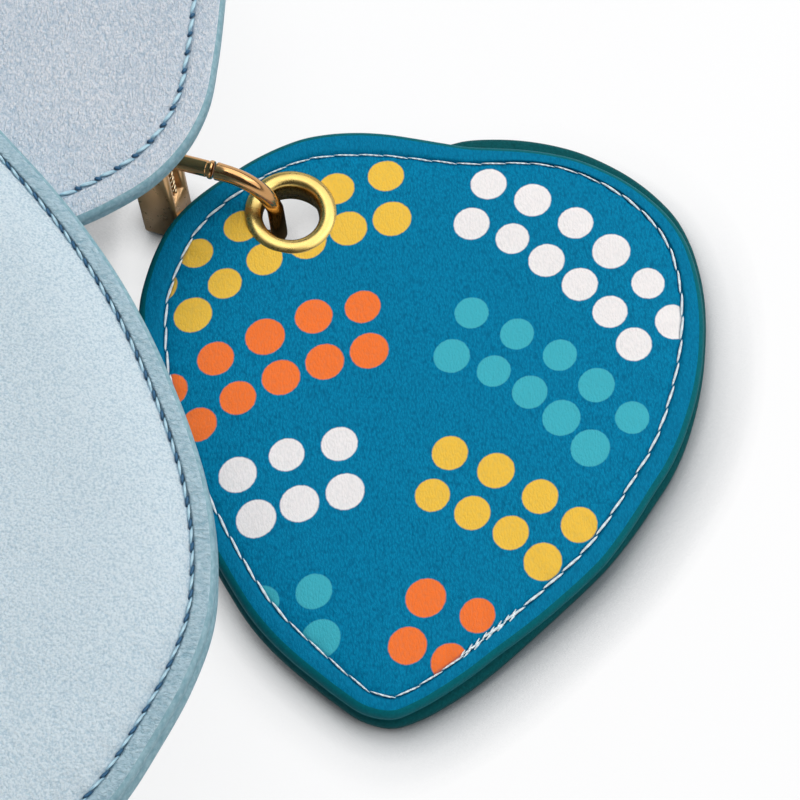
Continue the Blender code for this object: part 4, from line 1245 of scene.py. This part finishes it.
def make_strap(looks):
    """The strap, with its stitches along both edges of both faces."""
    _, bar, ring_high = joint("strap_swing")["pos_m"]
    far = bar + STRAP_RING_LONG
    rings = strap_rings(far, ring_high)
    wide, thick = STRAP_WIDE / 2, STRAP_THICK / 2
    section = rounded_outline((-wide, -thick), (wide, thick), STRAP_EDGE, 3)
    vertices = [c + w * a + t * b for c, w, t in rings for a, b in section]
    faces = tube_faces(len(rings), len(section)) + end_faces(len(rings), len(section))
    strap = mesh_object("strap_leather", vertices, faces, looks["strap"])
    settle(strap, "strap", "pale_leather", "strap")
    for face in (-1, 1):
        up = [t * face for _, _, t in rings]
        for edge in (-1, 1):
            line = [c + w * (edge * STRAP_SEAM) + t * (face * thick) for c, w, t in rings]
            stitch_run(
                f"strap_stitches_{face + 1}{edge + 1}", "strap", line, up, looks["blue_thread"],
                closed=False, radius=STRAP_THREAD,
            )
    for name, side in (("right", 1), ("left", -1)):
        make_strap_end(name, Vector((side * STRAP_AT, far, ring_high)), looks)


def make_strap_end(name, place, looks):
    """One folded, riveted end of the strap, with its ring and the tab that holds the ring."""
    fold_at = Matrix.Translation(place)
    inner = STRAP_RING_WIRE + GAP
    outer = inner + STRAP_THICK
    flat = STRAP_THICK + GAP / 2
    lower = [(0.6 * outer, -0.97 * outer), (1.4 * outer, -0.85 * outer), (2.6 * outer, -flat),
             (STRAP_LAP, -flat)]
    profile = arc(outer, 1, 3, 15) + lower + [(y, -z) for y, z in reversed(lower)]
    fold = prism(f"strap_fold_{name}", profile, STRAP_WIDE / 2, looks["strap"], fold_at)
    across = Matrix.Rotation(math.radians(90), 4, "Y")
    hole = [(inner, -0.02), (inner, 0.02)]
    cut(fold, lathe("bar_hole", hole, looks["strap"], fold_at @ across, 32))
    bevelled(fold, FOLD_BEVEL, 2, 45)
    crisp(fold)
    settle(fold, "strap", "pale_leather")
    end = STRAP_LAP - STITCH_IN
    for face in (-1, 1):
        down = [(-STRAP_SEAM, y, face * flat) for y in np.linspace(2.8 * outer, end, 20)]
        over = [(x, end, face * flat) for x in np.linspace(-STRAP_SEAM, STRAP_SEAM, 12)[1:-1]]
        line = down + over + [(-x, y, z) for x, y, z in reversed(down)]
        stitch_run(
            f"strap_fold_stitches_{name}_{face + 1}", "strap", line, (0, 0, face),
            looks["blue_thread"], closed=False, matrix=fold_at, radius=STRAP_THREAD,
        )
    dome = []
    for angle in np.radians(np.linspace(-90, -5, 8)):
        height = -flat - RIVET_HEAD_THICK * abs(math.sin(angle))
        dome.append((RIVET_HEAD * max(math.cos(angle), 0.02), height))
    dome.append((RIVET_HEAD * 0.9, -flat))
    profile = dome + [(RIVET_HEAD * 0.9, flat)] + [(r, -z) for r, z in reversed(dome[:8])]
    rivet_at = fold_at @ Matrix.Translation((0, RIVET_IN, 0))
    rivet = lathe(f"strap_rivet_dome_{name}", profile, looks["gold"], rivet_at, 40)
    rivet.data.shade_smooth()
    settle(rivet, "strap", "yellow_gold", f"strap_rivet_{name}")
    ring_at = Matrix.Translation(place - Vector((0, STRAP_RING_LONG, 0)))
    half = STRAP_RING_WIDE / 2
    path = rounded_outline((-half, 0), (half, STRAP_RING_LONG), STRAP_RING_CORNER)
    ring = sweep(
        f"strap_ring_metal_{name}", path, STRAP_RING_WIRE, looks["gold"], closed=True, matrix=ring_at
    )
    settle(ring, "strap", "yellow_gold", f"strap_ring_{name}")
    tab_piece(f"strap_tab_{name}", ring_at, STRAP_RING_WIRE, looks)


def make_wall(node, facing, looks):
    """One of the pouch's walls, with a sewn edge; facing is 1 for up and -1 for down."""
    low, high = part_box(node)
    outline = dense(rounded_outline(low, high, WALL_CORNER), 0.0006)
    count = len(outline)
    outer, inner = (low.z, high.z) if facing < 0 else (high.z, low.z)
    rings = [
        (0.006, inner, 0.0), (WALL_RIM, inner, 0.0), (0.0002, (3 * inner + outer) / 4, 0.0),
        (0.0, (low.z + high.z) / 2, 0.0), (0.0002, (3 * outer + inner) / 4, 0.0),
        (WALL_RIM, outer, 0.0), (WALL_SEAM - 0.0004, outer, 0.0), (WALL_SEAM, outer, 0.0002),
        (WALL_SEAM + 0.0004, outer, 0.0),
    ]
    shapes = [(inset(outline, d), np.full(count, z - facing * dip)) for d, z, dip in rings]
    last = shapes[-1][0]
    centre = last.mean(0)
    for share in np.linspace(0, 1, 24)[1:-1]:
        flat = centre + (last - centre) * (1 - share)
        lump = 0.00018 * np.abs(waves(flat, 0.02, 4.0 + facing))
        shapes.append((flat, outer - facing * lump * min(1, 5 * share)))
    vertices = np.vstack([np.column_stack(s) for s in shapes] + [[(*centre, outer), (*centre, inner)]])
    top = len(shapes) * count
    faces = tube_faces(len(shapes), count) + fan_faces(top - count, count, top)
    faces += flipped(fan_faces(0, count, top + 1))
    faces = faces if facing > 0 else flipped(faces)
    settle(
        mesh_object(f"{node}_leather", vertices, faces, looks["strap"]), "bag", "pale_leather", node
    )
    line = np.column_stack([inset(outline, WALL_SEAM), np.full(count, outer - facing * 0.0004)])
    stitch_run(
        f"{node}_stitches", "bag", line, (0, 0, facing), looks["blue_thread"], radius=STRAP_THREAD
    )


def make_band(name, slot, offset, thick, zip_z, look):
    """The gusset or its lining: a band round the pouch that sags, with a mouth for the zip."""
    low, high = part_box("pouch_gusset")
    outline = dense(rounded_outline(low, high, GUSSET_CORNER), 0.0012)
    base = inset(outline, offset)
    count = len(base)
    levels = [*np.linspace(low.z, zip_z - MOUTH_TALL, 7), *np.linspace(zip_z + MOUTH_TALL, high.z, 7)]
    vertices = []
    for z in levels:
        belly = math.sin(math.pi * (z - low.z) / (high.z - low.z))
        for x, y in base:
            near_top = max(0.0, min(1.0, (high.y - 0.006 - y) / 0.02))
            wave = 0.5 + 0.5 * noise.noise(Vector((x * 45, y * 45, 2.0)))
            sag = SAG * belly * near_top * wave
            vertices.append((x - x / high.x * sag, y - y / high.y * sag, z))
    faces = tube_faces(len(levels), count)
    middles = (base + np.roll(base, -1, 0)) / 2
    mouth = (middles[:, 1] > high.y - offset - 0.0008) & (np.abs(middles[:, 0]) < MOUTH_HALF)
    faces = [face for k, face in enumerate(faces) if k // count != 6 or not mouth[k % count]]
    piece = mesh_object(f"{name}_skin", vertices, faces, look)
    solid = piece.modifiers.new("thickness", "SOLIDIFY")
    solid.thickness = thick
    solid.offset = -1.0
    applied(piece)
    if not offset:
        bevelled(piece, 0.0003, 2, 50)
    crisp(piece)
    settle(piece, "bag", slot, name)


def make_pouch(looks):
    """The pouch: its two walls, the gusset that sags between them, and the lining."""
    make_wall("pouch_back", -1, looks)
    make_wall("pouch_front", 1, looks)
    low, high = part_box("zip_slider")
    zip_z = (low.z + high.z) / 2
    make_band("pouch_gusset", "pale_leather", 0.0, GUSSET_THICK, zip_z, looks["strap"])
    make_band("pouch_lining", "lining_fabric", LINING_IN, LINING_THICK, zip_z, looks["cloth"])
    half, tall = MOUTH_HALF + STITCH_IN, MOUTH_TALL + STITCH_IN
    mouth = dense(rounded_outline((-half, zip_z - tall), (half, zip_z + tall), 0.0012, 2), 0.0008)
    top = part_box("pouch_gusset")[1].y
    line = [(x, top, z) for x, z in mouth]
    stitch_run("zip_mouth_stitches", "bag", line, (0, 1, 0), looks["blue_thread"])


def make_zip(looks):
    """The zip's looks: its pieces are the solids' own meshes."""
    for name, look in (
        ("tape_front", "tape"), ("tape_back", "tape"), ("teeth_front", "gold"), ("teeth_back", "gold"),
        ("stop_left", "gold"), ("stop_right", "gold"), ("slider", "gold"), ("pull", "gold"),
    ):
        mesh = frame["nodes"][f"zip_{name}"].data
        mesh.materials.clear()
        mesh.materials.append(looks[look])


def make_table():
    """The white table, with the shade of what lies close to it."""
    tree = new_tree("table")
    soft = tree.noise(tree.place(), 14.0, 2.0)
    seen, mirrored = tree.looked_at()

    def open_air(distance, towards):
        """How much of the air within a distance is free, on the side that a direction gives."""
        lean = tree.add("ShaderNodeCombineXYZ", dict(zip("XYZ", towards)))
        inputs = {"Distance": distance, "Normal": lean.outputs[0]}
        return tree.add("ShaderNodeAmbientOcclusion", inputs, samples=4).outputs["AO"]

    near = tree.ramp(open_air(mirrored * SHADE_MIRRORED + SHADE_NEAR, (0, 0, 1)), 0.50, 0.90)
    lit = tree.ramp(open_air(SHADE_SOFT, SHADE_FROM), 0.30, 1.0)
    below = tree.ramp(open_air(SHADE_SOFT, SHADE_BELOW), 0.62, 0.86)
    clear = near * (1.0 - (1.0 - lit) * below)
    tone = tree.mix(tree.ramp(soft, 0.2, 0.8), linear("FBFBFD"), linear("F7F8FA"))
    tone = tree.mix(clear, linear("747D82"), tone)
    look = tree.finish(tone, 0.6, specular=0.1)
    glow = tree.add("ShaderNodeEmission", {"Color": WHITE, "Strength": 1.0})
    surface = tree.nodes["Principled BSDF"].outputs[0]
    share = seen * (clear * BACKDROP_SHARE)
    both = tree.add("ShaderNodeMixShader", {0: share, 1: surface, 2: glow.outputs[0]})
    tree.put(tree.nodes["Material Output"].inputs["Surface"], both.outputs[0])
    corners = [(-FLOOR, -FLOOR, 0), (FLOOR, -FLOOR, 0), (FLOOR, FLOOR, 0), (-FLOOR, FLOOR, 0)]
    mesh_object("floor", corners, [(0, 1, 2, 3)], look, smooth=False)


def make_world():
    """A white world, of which the lit pieces get less than the camera and polished metal see."""
    tree = Tree(bpy.data.worlds.new("studio"))
    bpy.context.scene.world = tree.owner
    seen, mirrored = tree.looked_at()
    height = tree.axis(tree.add("ShaderNodeTexCoord").outputs["Generated"], "Z")
    sky = tree.colours(height, [(0.30, WHITE), (0.46, (0.06, 0.06, 0.065, 1.0))])
    back = tree.nodes["Background"]
    tree.put(back.inputs["Color"], tree.mix(mirrored, WHITE, sky))
    tree.put(back.inputs["Strength"], tree.ramp(seen, 0.0, 1.0, WORLD_LIGHT))


def make_lamps():
    for name, place, size_x, size_y, power, colour in LAMPS:
        light = bpy.data.lights.new(name, "AREA")
        light.shape = "RECTANGLE"
        light.size = size_x
        light.size_y = size_y
        light.energy = power
        light.color = colour
        lamp = new_object(name, light)
        lamp.location = place
        lamp.rotation_euler = (LAMPS_AIM - lamp.location).to_track_quat("-Z", "Y").to_euler()


def make_camera():
    data = bpy.data.cameras.new("camera")
    data.sensor_width = SENSOR
    data.lens = SENSOR * CAMERA_DISTANCE / CAMERA_SEES
    data.clip_start = 0.01
    camera = new_object("camera", data)
    away = Vector((0, -math.cos(CAMERA_ELEVATION), math.sin(CAMERA_ELEVATION)))
    camera.location = Vector(CAMERA_TARGET) + away * CAMERA_DISTANCE
    camera.rotation_euler = (math.radians(90) - CAMERA_ELEVATION, 0, 0)
    bpy.context.scene.camera = camera
    bpy.context.scene.view_settings.view_transform = "Standard"


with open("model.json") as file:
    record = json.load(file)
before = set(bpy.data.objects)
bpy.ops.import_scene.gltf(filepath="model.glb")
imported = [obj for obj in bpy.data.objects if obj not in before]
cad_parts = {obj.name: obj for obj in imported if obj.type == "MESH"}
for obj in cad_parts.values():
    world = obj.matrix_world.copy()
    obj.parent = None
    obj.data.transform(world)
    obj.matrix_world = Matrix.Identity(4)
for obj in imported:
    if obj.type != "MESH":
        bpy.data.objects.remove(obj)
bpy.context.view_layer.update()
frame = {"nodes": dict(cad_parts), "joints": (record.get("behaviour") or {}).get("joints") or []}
looks = make_looks()
make_table()
make_world()
make_lamps()
make_camera()
make_wings(looks)
make_body(looks)
make_charm(looks)
make_clasp(looks)
make_charm_ring(looks)
make_strap(looks)
make_pouch(looks)
make_zip(looks)
bpy.context.view_layer.update()
